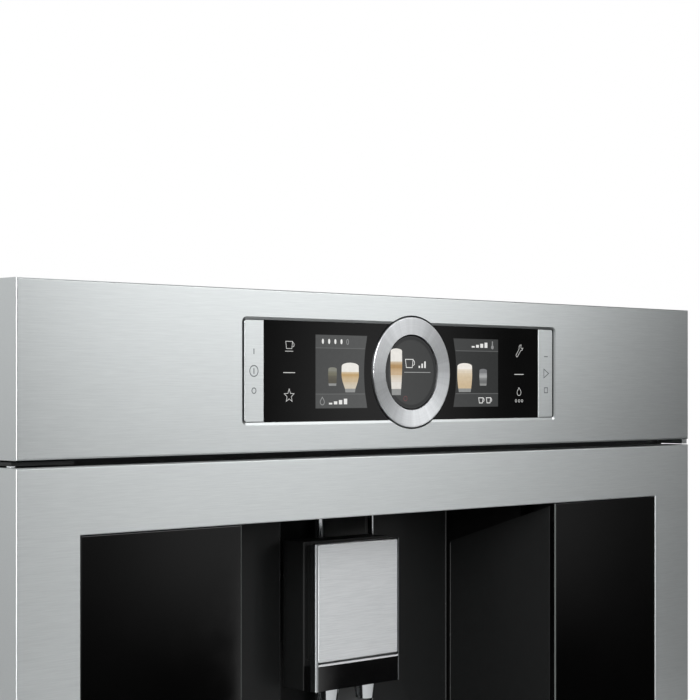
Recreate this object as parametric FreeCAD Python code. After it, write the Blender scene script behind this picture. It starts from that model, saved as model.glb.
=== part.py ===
import FreeCAD, Part
import math
import os

Vector = FreeCAD.Vector

# Front: panel and door, in millimetres
front_w = 594.0
front_top = 455.0
front_t = 20.0
panel_h = 96.0
shadow_gap = 4.0
door_lift = 6.0
skin_t = 0.8
edge_r = 1.0
stile_w = 41.0
top_rail_h = 37.0
bottom_rail_h = 42.0
glass_t = 4.0
glass_setback = 0.3
window_edge_r = 0.6
web_t = 3.0
rim_t = 3.0
cover_t = 2.0
end_tab_w = 6.0

# Body
front_overhang = 18.0
body_drop = 9.0
body_back = 375.0
door_space = 4.0
bulkhead_t = 2.5
sheet_t = 1.2
foot_h = 5.0
foot_r = 14.0
flange_w = 12.0
mount_hole_r = 2.25
mount_inset = 44.5
inlet_proud = 2.0
inlet_w = 30.0
inlet_h = 22.0
inlet_inset = 51.8
inlet_rise = 33.8
vent_w = 5.0
vent_pitch = 12.0
vent_len = 80.0
vent_back = 45.0
vent_drop = 48.8
rear_space = 144.0
bead_w = 16.0
bead_d = 1.0
bead_inset = 42.0
bead_count = 3
bead_r = 0.8

# Control panel
recess_w = 284.2
recess_h = 63.6
recess_r = 2.0
bevel_w = 1.6
bevel_d = 0.6
panel_glass_t = 2.0
display_w = 43.7
display_h = 44.5
display_x = 61.2
display_dish = 2.7
button_w = 15.0
press_travel = 1.0
stem_r = 2.5
ring_r = 35.0
ring_bore_r = 24.0
ring_wall = 3.0
ring_proud = 0.4
ring_dish = 0.4
ring_edge_r = 0.5

# Hinge
hinge_inset = 5.5
hinge_d = 13.0
pin_r = 2.5
bracket_t = 2.0
bracket_reach = 23.0
bracket_lip = 7.0
bracket_drop = 31.0
bracket_foot = 36.0
magnet_w = 10.0
magnet_h = 30.0

# Niche
pane_w = 114.0
cheek_splay = 24.0
cheek_d = 5.0
cheek_depth = 71.0
cheek_t = 2.5
cheek_drop = 28.0
back_inset = 2.6
niche_wall_t = 2.5
niche_head = 16.0
shaft_half = 41.0
shaft_depth = 52.0
rod_r = 3.5
rod_x = 34.0

# Dispenser
plate_w = 72.5
plate_h = 76.0
plate_drop = 21.0
plate_d = 48.0
plate_t = 5.0
head_half = 38.5
trim_h = 1.4
trim_gap = 1.2
trim_d = 5.0
chin_h = 15.8
spout_r = 7.5
spout_x = 16.8
spout_h = 11.0

# Containers and works
tray_inset = 4.0
tray_wall = 2.2
grille_t = 3.0
float_r = 9.0
float_h = 9.0
float_stem_r = 3.0
float_hole_r = 5.5
slot_pitch = 8.0
tank_w = 100.0
tank_depth = 158.0
tank_h = 248.0
milk_h = 162.0
motor_space = 92.0
bean_h = 74.0
grinder_r = 48.0
grinder_h = 58.0
grinder_rise = 30.0
grind_motor_r = 30.0
grind_motor_h = 90.0
burr_r = 40.0
shaft_r = 4.0
brew_half = 60.0
brew_depth = 92.0
chamber_r = 25.0
chamber_h = 66.0
spindle_r = 5.0
spindle_x = 45.0
brew_rise = 70.0
brew_h = 210.0
brew_motor_r = 20.0
brew_motor_h = 48.0
piston_rise = 84.0
piston_h = 16.0
piston_rod_h = 20.0
cross_h = 12.0
cross_depth = 30.0
thermo_w = 70.0
thermo_depth = 80.0
thermo_h = 140.0
thermo_gap = 24.0
thermo_back = 31.8
board_w = 180.0
board_h = 190.0
board_inset = 27.8
board_rise = 133.8
pump_r = 24.0
pump_w = 84.0

# Clearances
fit = 0.2
run = 0.06
free = 0.5

half_w = front_w / 2
body_half = half_w - front_overhang
body_top = front_top - body_drop
panel_z = front_top - panel_h
ring_z = panel_z + panel_h / 2
door_z = door_lift
door_top = panel_z - shadow_gap
window_x = half_w - stile_w
niche_half = window_x - pane_w
niche_back_half = niche_half - cheek_splay
back_half = niche_back_half - back_inset
tray_half = niche_back_half - tray_inset
mount_pitch_z = door_top - door_z - 2 * mount_inset
window_z = door_z + bottom_rail_h
window_top = door_top - top_rail_h
glass_back = glass_setback + glass_t
web_back = glass_back + web_t
cover_d = front_t - cover_t
opening_x = niche_half + 4.0
bulkhead_d = front_t + door_space
chassis_d = bulkhead_d + bulkhead_t
floor_z = foot_h + sheet_t
roof_z = body_top - sheet_t
back_d = body_back - sheet_t
inner_half = body_half - sheet_t
hinge_x = hinge_inset - half_w
panel_glass_d = bevel_d + fit
panel_web_d = panel_glass_d + panel_glass_t
panel_web_back = panel_web_d + web_t
board_d = panel_web_back + 10.2
button_x = recess_w / 2 - bevel_w - 1.0 - button_w / 2
cheek_back = cheek_d + cheek_depth
niche_back = cheek_back + 2.0
liner_d = niche_back + niche_wall_t
shaft_d = liner_d + 3.5
shaft_back = niche_back + shaft_depth
rod_d = shaft_back - 8.0
niche_top = window_top + niche_head
plate_top = window_top - plate_drop
chin_top = plate_top - plate_h - trim_gap - trim_h
head_bottom = chin_top - chin_h
tray_rim = window_z + 0.6
grille_z = tray_rim + fit
niche_z = grille_z + grille_t + 0.4
tray_z = floor_z + 5.8
side_x = (opening_x + 12.0 + inner_half - 10.0) / 2
shelf_z = floor_z + 7.8
store_d = chassis_d + 2.5
bean_depth = body_back - rear_space - store_d
milk_depth = bean_depth - motor_space
milk_top = shelf_z + milk_h
grinder_z = milk_top + grinder_rise
grinder_d = store_d + bean_depth - grinder_r
burr_z = grinder_z + 20.0
bean_z = grinder_z + grinder_h
brew_d = shaft_back + 10.0
brew_mid = brew_d + 40.0
brew_z = floor_z + brew_rise
brew_top = brew_z + brew_h
rear_d = body_back + inlet_proud
board_x = board_inset - inner_half
board_z = floor_z + board_rise
board_back = back_d - 22.0
inlet_x = inner_half - inlet_inset - inlet_w
inlet_z = floor_z + inlet_rise
front_y = (ring_proud - rear_d) / 2


def at(x, d, z):
    return Vector(x, d + front_y, z)


def block(x, d, z):
    return Part.makeBox(x[1] - x[0], d[1] - d[0], z[1] - z[0], at(x[0], d[0], z[0]))


def rod(r, x, z, d):
    return Part.makeCylinder(r, d[1] - d[0], at(x, d[0], z), Vector(0, 1, 0))


def post(r, x, d, z):
    return Part.makeCylinder(r, z[1] - z[0], at(x, d, z[0]), Vector(0, 0, 1))


def bar(r, d, z, x):
    return Part.makeCylinder(r, x[1] - x[0], at(x[0], d, z), Vector(1, 0, 0))


def taper(r0, r1, x, d, z):
    return Part.makeCone(r0, r1, z[1] - z[0], at(x, d, z[0]), Vector(0, 0, 1))


def plan(points, z):
    loop = [at(x, d, z[0]) for x, d in points]
    face = Part.Face(Part.makePolygon(loop + loop[:1]))
    return face.extrude(Vector(0, 0, z[1] - z[0]))


def mirrored(shape):
    return shape.mirror(Vector(0, 0, 0), Vector(1, 0, 0))


def pair(shape):
    return Part.makeCompound([shape, mirrored(shape)])


def join(*shapes):
    return shapes[0].fuse(list(shapes[1:])).removeSplitter()


def rounded(shape, r, wanted):
    edges = []
    for edge in shape.Edges:
        ends = [v.Point for v in edge.Vertexes]
        if len(ends) == 2 and wanted(ends[0], ends[1]):
            edges.append(edge)
    return shape.makeFillet(r, edges)


def upright(a, b):
    return abs(a.z - b.z) > 1.0 and abs(a.x - b.x) < 1e-6 and abs(a.y - b.y) < 1e-6


def on_face(d):
    return lambda a, b: abs(a.y - d - front_y) < 1e-6 and abs(b.y - d - front_y) < 1e-6


def on_side(x):
    return lambda a, b: abs(a.x - x) < 1e-6 and abs(b.x - x) < 1e-6


def deep(a, b):
    return abs(a.y - b.y) > 1e-6 and abs(a.x - b.x) < 1e-6 and abs(a.z - b.z) < 1e-6


def folded(z):
    outer = rounded(block((-half_w, half_w), (0, front_t), z), edge_r, on_face(0))
    return outer.cut(block((skin_t - half_w, half_w - skin_t), (skin_t, front_t + 1),
                           (z[0] + skin_t, z[1] - skin_t)))


def ring_wall_block(x, d, z, wall):
    hole = block((x[0] + wall, x[1] - wall), (d[0] - 1, d[1] + 1), (z[0] + wall, z[1] - wall))
    return block(x, d, z).cut(hole)


def tub(x, d, z, wall, r):
    outer = rounded(block(x, d, z), r, upright)
    inner = block((x[0] + wall, x[1] - wall), (d[0] + wall, d[1] - wall), (z[0] + wall, z[1] + 1))
    return outer.cut(rounded(inner, r - wall, upright))


def lid(x, d, z, top_t, lip_h, wall, r):
    plate = rounded(block((x[0] - 1, x[1] + 1), (d[0] - 1, d[1] + 1), (z, z + top_t)), r, upright)
    gap = wall + free
    lip_x, lip_d = (x[0] + gap, x[1] - gap), (d[0] + gap, d[1] - gap)
    lip = rounded(block(lip_x, lip_d, (z - lip_h, z)), r - wall, upright)
    inner = block((lip_x[0] + 2, lip_x[1] - 2), (lip_d[0] + 2, lip_d[1] - 2), (z - lip_h - 1, z))
    return join(plate, lip.cut(rounded(inner, r - wall - 1, upright)))


def panel_fascia():
    shell = folded((panel_z, front_top))
    inner_x, inner_z = recess_w / 2 - bevel_w, recess_h / 2 - bevel_w
    wires = []
    for grow, d in ((1.5 * bevel_w, -bevel_d / 2), (0, bevel_d)):
        x, z = inner_x + grow, inner_z + grow
        slab = rounded(block((-x, x), (d, d + 1), (ring_z - z, ring_z + z)), recess_r + grow, deep)
        wires.append(min(slab.Faces, key=lambda face: face.CenterOfMass.y).OuterWire)
    cut = Part.makeLoft(wires, True, True)
    through = block((-inner_x, inner_x), (-1, front_t), (ring_z - inner_z, ring_z + inner_z))
    through = rounded(through, recess_r, deep)
    tab = block((half_w - end_tab_w, half_w), (1.5, bulkhead_d - fit), (door_top + 0.6, panel_z + skin_t))
    body = join(shell, tab)
    return body.cut([cut, through, rod(ring_r + 1.0, 0, ring_z, (-1, front_t))])


def panel_housing():
    x = half_w - skin_t - fit
    z = (panel_z + skin_t + fit, front_top - skin_t - fit)
    rim = ring_wall_block((-x, x), (skin_t + fit, bulkhead_d), z, rim_t)
    web = block((-x, x), (panel_web_d, panel_web_back), z)
    boss = rod(ring_r - 3, 0, ring_z, (panel_web_d, panel_web_back + 8))
    posts = [rod(4, sx * (display_x + 50), ring_z + sz * 33, (panel_web_d + 1, board_d))
             for sx in (-1, 1) for sz in (-1, 1)]
    body = join(rim, web, boss, *posts)
    cuts = [rod(ring_bore_r + ring_wall + run, 0, ring_z, (0, bulkhead_d))]
    for side in (-1, 1):
        mid, reach, tall = side * display_x, display_w / 2 + free, display_h / 2 + free
        cuts.append(block((mid - reach, mid + reach), (panel_web_d - 1, panel_web_back + 1),
                          (ring_z - tall, ring_z + tall)))
        mid, reach, tall = side * button_x, button_w / 2 + free, recess_h / 2
        cuts.append(block((mid - reach, mid + reach), (panel_web_d - 1, panel_web_d + press_travel + 0.4),
                          (ring_z - tall, ring_z + tall)))
        for dz in (-20, 20):
            cuts.append(rod(stem_r + run, mid, ring_z + dz, (panel_web_d, panel_web_back + 1)))
    return body.cut(cuts)


def panel_glass():
    edge = button_x - button_w / 2 - free
    z = recess_h / 2 - bevel_w - fit
    plate = block((-edge, edge), (panel_glass_d, panel_web_d), (ring_z - z, ring_z + z))
    return plate.cut(rod(ring_r + 1.0, 0, ring_z, (-1, panel_web_d + 1)))


def side_displays():
    x = (display_x - display_w / 2, display_x + display_w / 2)
    slab = block(x, (panel_web_d, panel_web_back + 2), (ring_z - display_h / 2, ring_z + display_h / 2))
    sweep_r = ((display_h / 2) ** 2 + display_dish ** 2) / (2 * display_dish)
    return pair(slab.cut(rod(sweep_r, x[0] + display_dish - sweep_r, ring_z, (0, front_t))))


def centre_display():
    return rod(ring_bore_r - 1.0, 0, ring_z, (1.2 - ring_proud, board_d))


def control_board():
    board = block((-recess_w / 2, recess_w / 2), (board_d, board_d + 1.6), (ring_z - 40, ring_z + 40))
    switches = [block((sx * button_x - 3, sx * button_x + 3), (board_d - 3.6, board_d),
                      (ring_z + dz - 3, ring_z + dz + 3)) for sx in (-1, 1) for dz in (-20, 20)]
    return join(board, *switches)


def control_ring():
    face = rod(ring_r, 0, ring_z, (-ring_proud, panel_web_d - 0.8))
    sleeve = rod(ring_bore_r + ring_wall, 0, ring_z, (panel_web_d - 0.8, panel_web_back + 9))
    # the face falls a little from its rim to the bore
    rim_r = ring_r - 2 * ring_edge_r
    dish = Part.makeCone(rim_r, ring_bore_r, ring_dish, at(0, -ring_proud, ring_z), Vector(0, 1, 0))
    body = join(face, sleeve).cut([rod(ring_bore_r, 0, ring_z, (-ring_proud - 1, bulkhead_d)), dish])
    rim = [e for e in body.Edges if e.isClosed() and abs(e.CenterOfMass.y - front_y + ring_proud) < 1e-3
           and e.Curve.Radius > rim_r + 1e-3]
    return body.makeFillet(ring_edge_r, rim)


def push_button(side):
    mid = side * button_x
    z = recess_h / 2 - bevel_w - fit
    d = (panel_glass_d - fit, panel_glass_d - fit + 1.8)
    cap = block((mid - button_w / 2, mid + button_w / 2), d, (ring_z - z, ring_z + z))
    outer = side * (button_w / 2)
    cap = rounded(cap, recess_r - 0.5, lambda a, b: deep(a, b) and abs(a.x - mid - outer) < 1e-6)
    cap = rounded(cap, 0.5, on_face(d[0]))
    stem_end = board_d - 3.6 - press_travel - 0.4
    return join(cap, *[rod(stem_r, mid, ring_z + dz, (d[1] - 0.2, stem_end)) for dz in (-20, 20)])


def door_frame():
    shell = folded((door_z, door_top))
    window = block((-window_x, window_x), (-1, front_t), (window_z, window_top))
    lip = block((-window_x - skin_t, window_x + skin_t), (0.2, glass_back - 0.3),
                (window_z - skin_t, window_top + skin_t))
    pin = post(pin_r + 0.6, hinge_x, hinge_d, (0, front_top))
    body = join(shell, lip).cut([window, pin])

    def window_edge(a, b):
        return on_face(0)(a, b) and max(abs(a.x), abs(b.x)) < window_x + 1

    return rounded(body, window_edge_r, window_edge)


def door_inner_frame():
    x = half_w - skin_t - fit
    z = (door_z + skin_t + fit, door_top - skin_t - fit)
    web = block((-x, x), (glass_back, web_back), z)
    rim = ring_wall_block((-x, x), (skin_t + fit, cover_d), z, rim_t)
    mouth = ring_wall_block((-opening_x - rim_t, opening_x + rim_t), (web_back - 0.5, cover_d),
                            (window_z - 1 - rim_t, window_top + 1 + rim_t), rim_t)
    blocks = [block((-x, hinge_x + 8), (web_back - 0.5, cover_d), span)
              for span in ((z[0], z[0] + 20), (z[1] - 20, z[1]))]
    body = join(web, rim, mouth, *blocks)
    hole = block((-opening_x, opening_x), (0, front_t), (window_z - 1, window_top + 1))
    pins = [post(pin_r + run, hinge_x, hinge_d, span)
            for span in ((z[0] - 1, z[0] + 17.5), (z[1] - 17.5, z[1] + 1))]
    return body.cut([hole] + pins)


def door_back_cover():
    x = half_w - skin_t - fit
    plate = block((-x, x), (cover_d, front_t), (door_z + skin_t + fit, door_top - skin_t - fit))
    return plate.cut(block((-opening_x, opening_x), (0, front_t + 1), (window_z - 1, window_top + 1)))


def door_glass():
    pane = block((niche_half, window_x - free), (glass_setback, glass_back),
                 (window_z + free, window_top - free))
    return rounded(pane, 0.5, on_face(glass_setback))


def door_magnets():
    x = (inner_half - 2 - magnet_w, inner_half - 2)
    d = (front_t, bulkhead_d - 0.3)
    feet_z = (window_z + 12, window_top + 2 - magnet_h)
    return Part.makeCompound([block(x, d, (z, z + magnet_h)) for z in feet_z])


def hinge_brackets():
    x = (1.0 - half_w, -body_half + bracket_reach)
    top_z = panel_z - 1.0 - bracket_t
    upper = join(block(x, (hinge_d - bracket_lip, bulkhead_d), (top_z, top_z + bracket_t)),
                 block((-body_half + 2, x[1]), (bulkhead_d - 2, bulkhead_d),
                       (top_z - bracket_drop, top_z + bracket_t)))
    lower = block(x, (hinge_d - bracket_lip, bulkhead_d + bracket_foot), (foot_h - bracket_t, foot_h))
    hole = post(pin_r + run, hinge_x, hinge_d, (0, front_top))
    return Part.makeCompound([upper.cut(hole), lower.cut(hole)])


def hinge_pins():
    upper = post(pin_r, hinge_x, hinge_d, (door_top - 17, panel_z - 1.0))
    lower = join(post(pin_r, hinge_x, hinge_d, (foot_h - bracket_t, door_z + 17)),
                 post(pin_r + 2.5, hinge_x, hinge_d, (foot_h, door_z)))
    return Part.makeCompound([upper, lower])


def base_pan():
    floor = block((-body_half, body_half), (bulkhead_d, body_back), (foot_h, floor_z))
    ribs = [block(x, (chassis_d + 1, brew_d + brew_depth - 8), (floor_z - 0.5, tray_z))
            for x in ((-54, -38), (38, 54))]
    for side, depth in ((-1, tank_depth), (1, milk_depth)):
        for dx in (-tank_w / 2, tank_w / 2 - 10):
            mid = side * side_x
            ribs.append(block((mid + dx, mid + dx + 10), (store_d + 1, store_d + depth - 1),
                              (floor_z - 0.5, shelf_z)))
    return join(floor, *ribs)


def feet():
    return Part.makeCompound([post(foot_r, sx * (body_half - 44), d, (0, foot_h))
                              for sx in (-1, 1) for d in (bulkhead_d + 26, body_back - 26)])


def side_bead(r, x, z):
    d = (chassis_d + bead_inset, back_d - bead_inset)
    return join(block(x, d, (z - r, z + r)), *[bar(r, end, z, x) for end in d])


def rear_bead(r, x, d):
    z = (floor_z + bead_inset, roof_z - bead_inset)
    return join(block((x - r, x + r), d, z), *[rod(r, x, end, d) for end in z])


def side_panel():
    sheet = block((inner_half, body_half), (chassis_d, back_d), (floor_z, roof_z))
    flange = block((inner_half, body_half + flange_w), (chassis_d, chassis_d + sheet_t),
                   (floor_z + 14, door_top - 15))
    rear = block((inner_half - 12, body_half), (back_d - sheet_t, back_d), (floor_z, roof_z))
    mid = (door_z + door_top) / 2
    holes = [rod(mount_hole_r, body_half + flange_w / 2, mid + sz * mount_pitch_z / 2, (0, front_t + 20))
             for sz in (-1, 1)]
    holes += [rod(1.8, inner_half - 6, z, (back_d - 5, body_back)) for z in screw_heights()]
    rises = [floor_z + (roof_z - floor_z) * (i + 1) / (bead_count + 1) for i in range(bead_count)]
    crown = body_half + bead_d
    beads = [rounded(side_bead(bead_w / 2, (inner_half, crown), z), bead_r, on_side(crown)) for z in rises]
    hollows = [side_bead(bead_w / 2 - sheet_t, (inner_half - 1, inner_half + bead_d), z) for z in rises]
    return join(sheet, flange, rear, *beads).cut(holes + hollows)


def screw_heights():
    return [floor_z + 30, (floor_z + roof_z) / 2, roof_z - 30]


def rear_panel():
    sheet = block((-inner_half, inner_half), (back_d, body_back), (floor_z, roof_z))
    pegs = [rod(4, x, z, (board_back, back_d + 0.5)) for x in (board_x + 10, board_x + board_w - 10)
            for z in (board_z + 10, board_z + board_h - 10)]
    tops = [roof_z - vent_drop - i * vent_pitch for i in range(9)]
    vent_x = (inlet_x + 4 - 2 * vent_len, inlet_x + 4)
    cuts = [block(vent_x, (0, body_back + 1), (z, z + vent_w)) for z in tops]
    cuts.append(block((inlet_x - fit, inlet_x + inlet_w + fit), (0, body_back + 1),
                      (inlet_z - fit, inlet_z + inlet_h + fit)))
    for z in screw_heights():
        cuts += [rod(1.8, sx * (inner_half - 6), z, (0, body_back + 1)) for sx in (-1, 1)]
    board_end = board_x + board_w
    mids = (board_x + board_w / 2, (board_end + vent_x[0]) / 2)
    crown = body_back + bead_d
    beads = [rounded(rear_bead(bead_w / 2, x, (back_d, crown)), bead_r, on_face(crown)) for x in mids]
    cuts += [rear_bead(bead_w / 2 - sheet_t, x, (back_d - 1, back_d + bead_d)) for x in mids]
    return join(sheet, *beads, *pegs).cut(cuts)


def cover_screws():
    screws = []
    for sx in (-1, 1):
        for z in screw_heights():
            x = sx * (inner_half - 6)
            screws.append(join(rod(1.6, x, z, (back_d - 6, body_back)),
                               rod(3.5, x, z, (body_back, body_back + 1.6))))
    return Part.makeCompound(screws)


def top_cover():
    sheet = block((-body_half, body_half), (chassis_d, body_back), (roof_z, body_top))
    d = (body_back - vent_back - vent_len, body_back - vent_back)
    starts = [(i - 10) * vent_pitch for i in range(21)]
    return sheet.cut([block((x, x + vent_w), d, (roof_z - 1, body_top + 1)) for x in starts])


def front_bulkhead():
    lower = block((-body_half, body_half), (bulkhead_d, chassis_d), (floor_z, front_top - 1))
    wide = half_w - skin_t - fit
    upper = block((-wide, wide), (bulkhead_d, chassis_d), (door_top - 3, front_top - 1))
    d = (0, chassis_d + 1)
    cuts = [block((-niche_half - 8, niche_half + 8), d, (tray_rim - 2, niche_top + 4)),
            block((-tray_half - 4, tray_half + 4), d, (tray_z - 0.5, tray_rim)),
            block((-60, 60), d, (ring_z - 25, ring_z + 25))]
    for side, top in ((-1, shelf_z + tank_h + 12), (1, bean_z + bean_h + 8)):
        mid = side * side_x
        cuts.append(block((mid - tank_w / 2 - 4, mid + tank_w / 2 + 4), d, (shelf_z - 2, top)))
    return join(lower, upper).cut(cuts)


def cheek_x(d):
    return niche_half - (d - cheek_d) * (niche_half - niche_back_half) / cheek_depth


def cheek_plan(offset, thick, d0, d1):
    length = math.hypot(niche_half - niche_back_half, cheek_depth)
    nx = cheek_depth / length
    nd = (niche_half - niche_back_half) / length
    near = [(cheek_x(d) + offset * nx, d + offset * nd) for d in (d0, d1)]
    far = [(x + thick * nx, d + thick * nd) for x, d in near]
    return near + far[::-1]


def niche_cheek():
    top = window_top - 2.0
    plate = plan(cheek_plan(0, cheek_t, cheek_d, cheek_back), (niche_z, top))
    d = (cheek_d - 1, cheek_back + 2)
    loop = [at(0, d[0], top), at(0, d[1], top - cheek_drop), at(0, d[1], top + 9), at(0, d[0], top + 9)]
    wedge = Part.Face(Part.makePolygon(loop + loop[:1])).extrude(Vector(half_w, 0, 0))
    return rounded(plate.cut(wedge), 0.6, upright)


def niche_liner():
    z = (niche_z, niche_top + niche_wall_t)
    side = plan(cheek_plan(cheek_t + fit, 2.0, chassis_d, liner_d), z)
    back = block((shaft_half + 4, niche_back_half + 6), (liner_d, liner_d + niche_wall_t), z)
    flange = block((cheek_x(chassis_d) + cheek_t + 1.2, niche_half + 14), (chassis_d, chassis_d + 2.5), z)
    half = join(side, back, flange)
    roof = block((-niche_half + 2, niche_half - 2), (chassis_d, liner_d + niche_wall_t), (niche_top, z[1]))
    return join(half, mirrored(half), roof)


def niche_back_panel():
    panel = block((shaft_half + 1, back_half), (niche_back, liner_d), (niche_z, niche_top))
    return rounded(panel, 0.6, on_face(niche_back))


def shaft_liner():
    z = (niche_z, niche_top)
    outer = block((-shaft_half - 2.5, shaft_half + 2.5), (shaft_d, shaft_back + 2.5), z)
    inner = block((-shaft_half, shaft_half), (shaft_d - 1, shaft_back), (z[0] + 3, z[1] - 3))
    holes = [post(rod_r + run, sx * rod_x, rod_d, z) for sx in (-1, 1)]
    return outer.cut([inner] + holes)


def guide_rods():
    return Part.makeCompound([post(rod_r, sx * rod_x, rod_d, (niche_z, niche_top)) for sx in (-1, 1)])


def niche_light():
    body = block((-50, 50), (chassis_d + 8, chassis_d + 18), (niche_top - 4, niche_top))
    return rounded(body, 1.5, upright)


def dispenser_housing():
    neck_d = plate_d + plate_t
    head_d = neck_d + 6.6
    head = block((-head_half, head_half), (head_d, niche_back + 2), (head_bottom, plate_top + 1))
    head = rounded(head, 1.2, upright)
    neck_x = plate_w / 2 - 1.2 - fit
    neck = block((-neck_x, neck_x), (plate_d + 1.2, head_d + 1),
                 (plate_top - plate_h + 1.2 + fit, plate_top - 1.2 - fit))
    arm = block((-30, 30), (niche_back, rod_d - 8), (head_bottom + 28, head_bottom + 68))
    carriage = block((-shaft_half + 1, shaft_half - 1), (rod_d - 8, shaft_back - 1),
                     (head_bottom + 22, head_bottom + 74))
    holes = [post(rod_r + run, sx * rod_x, rod_d, (0, front_top)) for sx in (-1, 1)]
    return join(head, neck, arm, carriage).cut(holes)


def dispenser_plate():
    x = plate_w / 2
    z = (plate_top - plate_h, plate_top)
    outer = rounded(block((-x, x), (plate_d, plate_d + plate_t), z), 1.5, deep)
    outer = rounded(outer, 1.0, on_face(plate_d))
    return outer.cut(block((1.2 - x, x - 1.2), (plate_d + 1.2, plate_d + plate_t + 1),
                           (z[0] + 1.2, z[1] - 1.2)))


def dispenser_chin():
    z = (head_bottom, chin_top)
    d = (plate_d + 0.6, plate_d + plate_t + 6.4)
    body = block((-head_half, head_half), d, z)
    edge = plate_w / 2 - fit
    flanks = pair(block((edge, head_half + 1), (plate_d, plate_d + trim_d + 2 * fit), (z[0] - 1, z[1] + 1)))
    return body.cut([flanks] + [post(3.0, sx * spout_x, plate_d + 6, (0, front_top)) for sx in (-1, 1)])


def dispenser_trim():
    d = (plate_d + 0.2, plate_d + trim_d + fit)
    edge = plate_w / 2 + fit
    left = block((-head_half, -edge), d, (head_bottom, plate_top))
    left = rounded(left, 1.9, lambda a, b: upright(a, b) and a.x + head_half < 1e-6 and on_face(d[0])(a, b))
    strip = block((-edge, edge), d, (chin_top + fit, chin_top + trim_h))
    return join(left, strip, mirrored(left))


def coffee_spouts():
    spouts = []
    for side in (-1, 1):
        x, d = side * spout_x, plate_d + 12.0
        body = taper(spout_r - 1.6, spout_r, x, d, (head_bottom - spout_h, head_bottom))
        rim = [e for e in body.Edges if e.isClosed() and e.CenterOfMass.z < head_bottom - spout_h + 0.1]
        body = body.makeFillet(0.8, rim)
        spouts.append(body.cut(post(spout_r - 3.2, x, d, (head_bottom - spout_h - 1, head_bottom - 2))))
    return Part.makeCompound(spouts)


def drip_tray():
    body = tub((-tray_half, tray_half), (chassis_d + 1, shaft_back - 2), (tray_z, tray_rim), tray_wall, 6)
    tube = post(float_r + 3, float_x(), float_d(), (tray_z + 1, tray_z + 22))
    return join(body, tube.cut(post(float_r + 1, float_x(), float_d(), (tray_z + tray_wall, tray_z + 30))))


def float_x():
    return tray_half * 0.6


def float_d():
    return chassis_d + 20.0


def drip_float():
    z = tray_z + tray_wall + 0.1
    disc = post(float_r, float_x(), float_d(), (z, z + float_h))
    return join(disc, post(float_stem_r, float_x(), float_d(), (z + float_h - 1, grille_z - 1)))


def drip_grille():
    d = (cheek_d + 3, niche_back - 2)
    near, far = cheek_x(d[0]) - 1.6, cheek_x(d[1]) - 1.6
    plate = plan([(-near, d[0]), (near, d[0]), (far, d[1]), (-far, d[1])], (grille_z, grille_z + grille_t))
    count = int(far * 2 / slot_pitch) - 1
    slots = []
    for i in range(count):
        x = (i - (count - 1) / 2) * slot_pitch
        if abs(x - float_x()) > float_hole_r + 4:
            slots.append(block((x - 1.8, x + 1.8), (d[0] + 8, d[1] - 8), (0, niche_top)))
    hole = post(float_hole_r, float_x(), float_d(), (0, niche_top))
    return rounded(plate, 2, upright).cut(slots + [hole])


def grounds_container():
    x = brew_half - 3
    return tub((-x, x), (shaft_back + 3, brew_d + brew_depth - 10), (tray_z, brew_z - 6), tray_wall, 6)


def tank_box():
    x = (-side_x - tank_w / 2, -side_x + tank_w / 2)
    return x, (store_d, store_d + tank_depth), (shelf_z, shelf_z + tank_h)


def water_tank():
    x, d, z = tank_box()
    grip = block((x[0] + 35, x[1] - 35), (d[0] - 3, d[0] + 1), (z[1] - 40, z[1] - 34))
    return join(tub(x, d, z, 2.4, 8), grip)


def tank_lid():
    x, d, z = tank_box()
    return lid(x, d, z[1], 4, 6, 2.4, 8)


def milk_box():
    return (side_x - tank_w / 2, side_x + tank_w / 2), (store_d, store_d + milk_depth), (shelf_z, milk_top)


def milk_container():
    x, d, z = milk_box()
    return tub(x, d, z, 2.0, 10)


def milk_lid():
    x, d, z = milk_box()
    tube_d = d[1] - 25
    cap = lid(x, d, z[1], 6, 6, 2.0, 10)
    tube = post(4, side_x, tube_d, (z[0] + 6, milk_top + 14))
    return join(cap, tube).cut(post(2.5, side_x, tube_d, (0, front_top)))


def funnel(grow, z):
    x = (side_x - tank_w / 2 + grow, side_x + tank_w / 2 - grow)
    d = (store_d + grow, store_d + bean_depth - grow)
    neck = 20.0 - grow
    upper = block(x, d, (bean_z + 34, z[1]))
    neck_x, neck_d = (side_x - neck, side_x + neck), (grinder_d - neck, grinder_d + neck)
    rings = []
    for (x0, x1), (d0, d1), h in ((x, d, bean_z + 34.5), (neck_x, neck_d, z[0])):
        loop = [at(x0, d0, h), at(x1, d0, h), at(x1, d1, h), at(x0, d1, h)]
        rings.append(Part.makePolygon(loop + loop[:1]))
    return join(upper, Part.makeLoft(rings, True, True))


def bean_container():
    reach = burr_r + 5.0
    foot = block((side_x - reach, side_x + reach), (grinder_d - reach, grinder_d + reach),
                 (bean_z, bean_z + 3))
    outer = join(funnel(0, (bean_z, bean_z + bean_h)), foot)
    return outer.cut(funnel(2.5, (bean_z - 1, bean_z + bean_h + 1)))


def bean_lid():
    x = (side_x - tank_w / 2, side_x + tank_w / 2)
    return lid(x, (store_d, store_d + bean_depth), bean_z + bean_h, 4, 6, 2.5, 5)


def grinder_housing():
    body = post(grinder_r, side_x, grinder_d, (grinder_z, bean_z))
    return body.cut([post(burr_r + run, side_x, grinder_d, (grinder_z + 14, bean_z + 1)),
                     post(shaft_r + run, side_x, grinder_d, (0, front_top))])


def upper_burr():
    body = post(burr_r, side_x, grinder_d, (burr_z + 2, burr_z + 26))
    return body.cut(taper(28.6, 14.6, side_x, grinder_d, (burr_z, burr_z + 26)))


def lower_burr():
    cone = taper(28, 14, side_x, grinder_d, (burr_z, burr_z + 26))
    return join(cone, post(shaft_r, side_x, grinder_d, (grinder_z - 50, burr_z + 1)))


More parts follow.
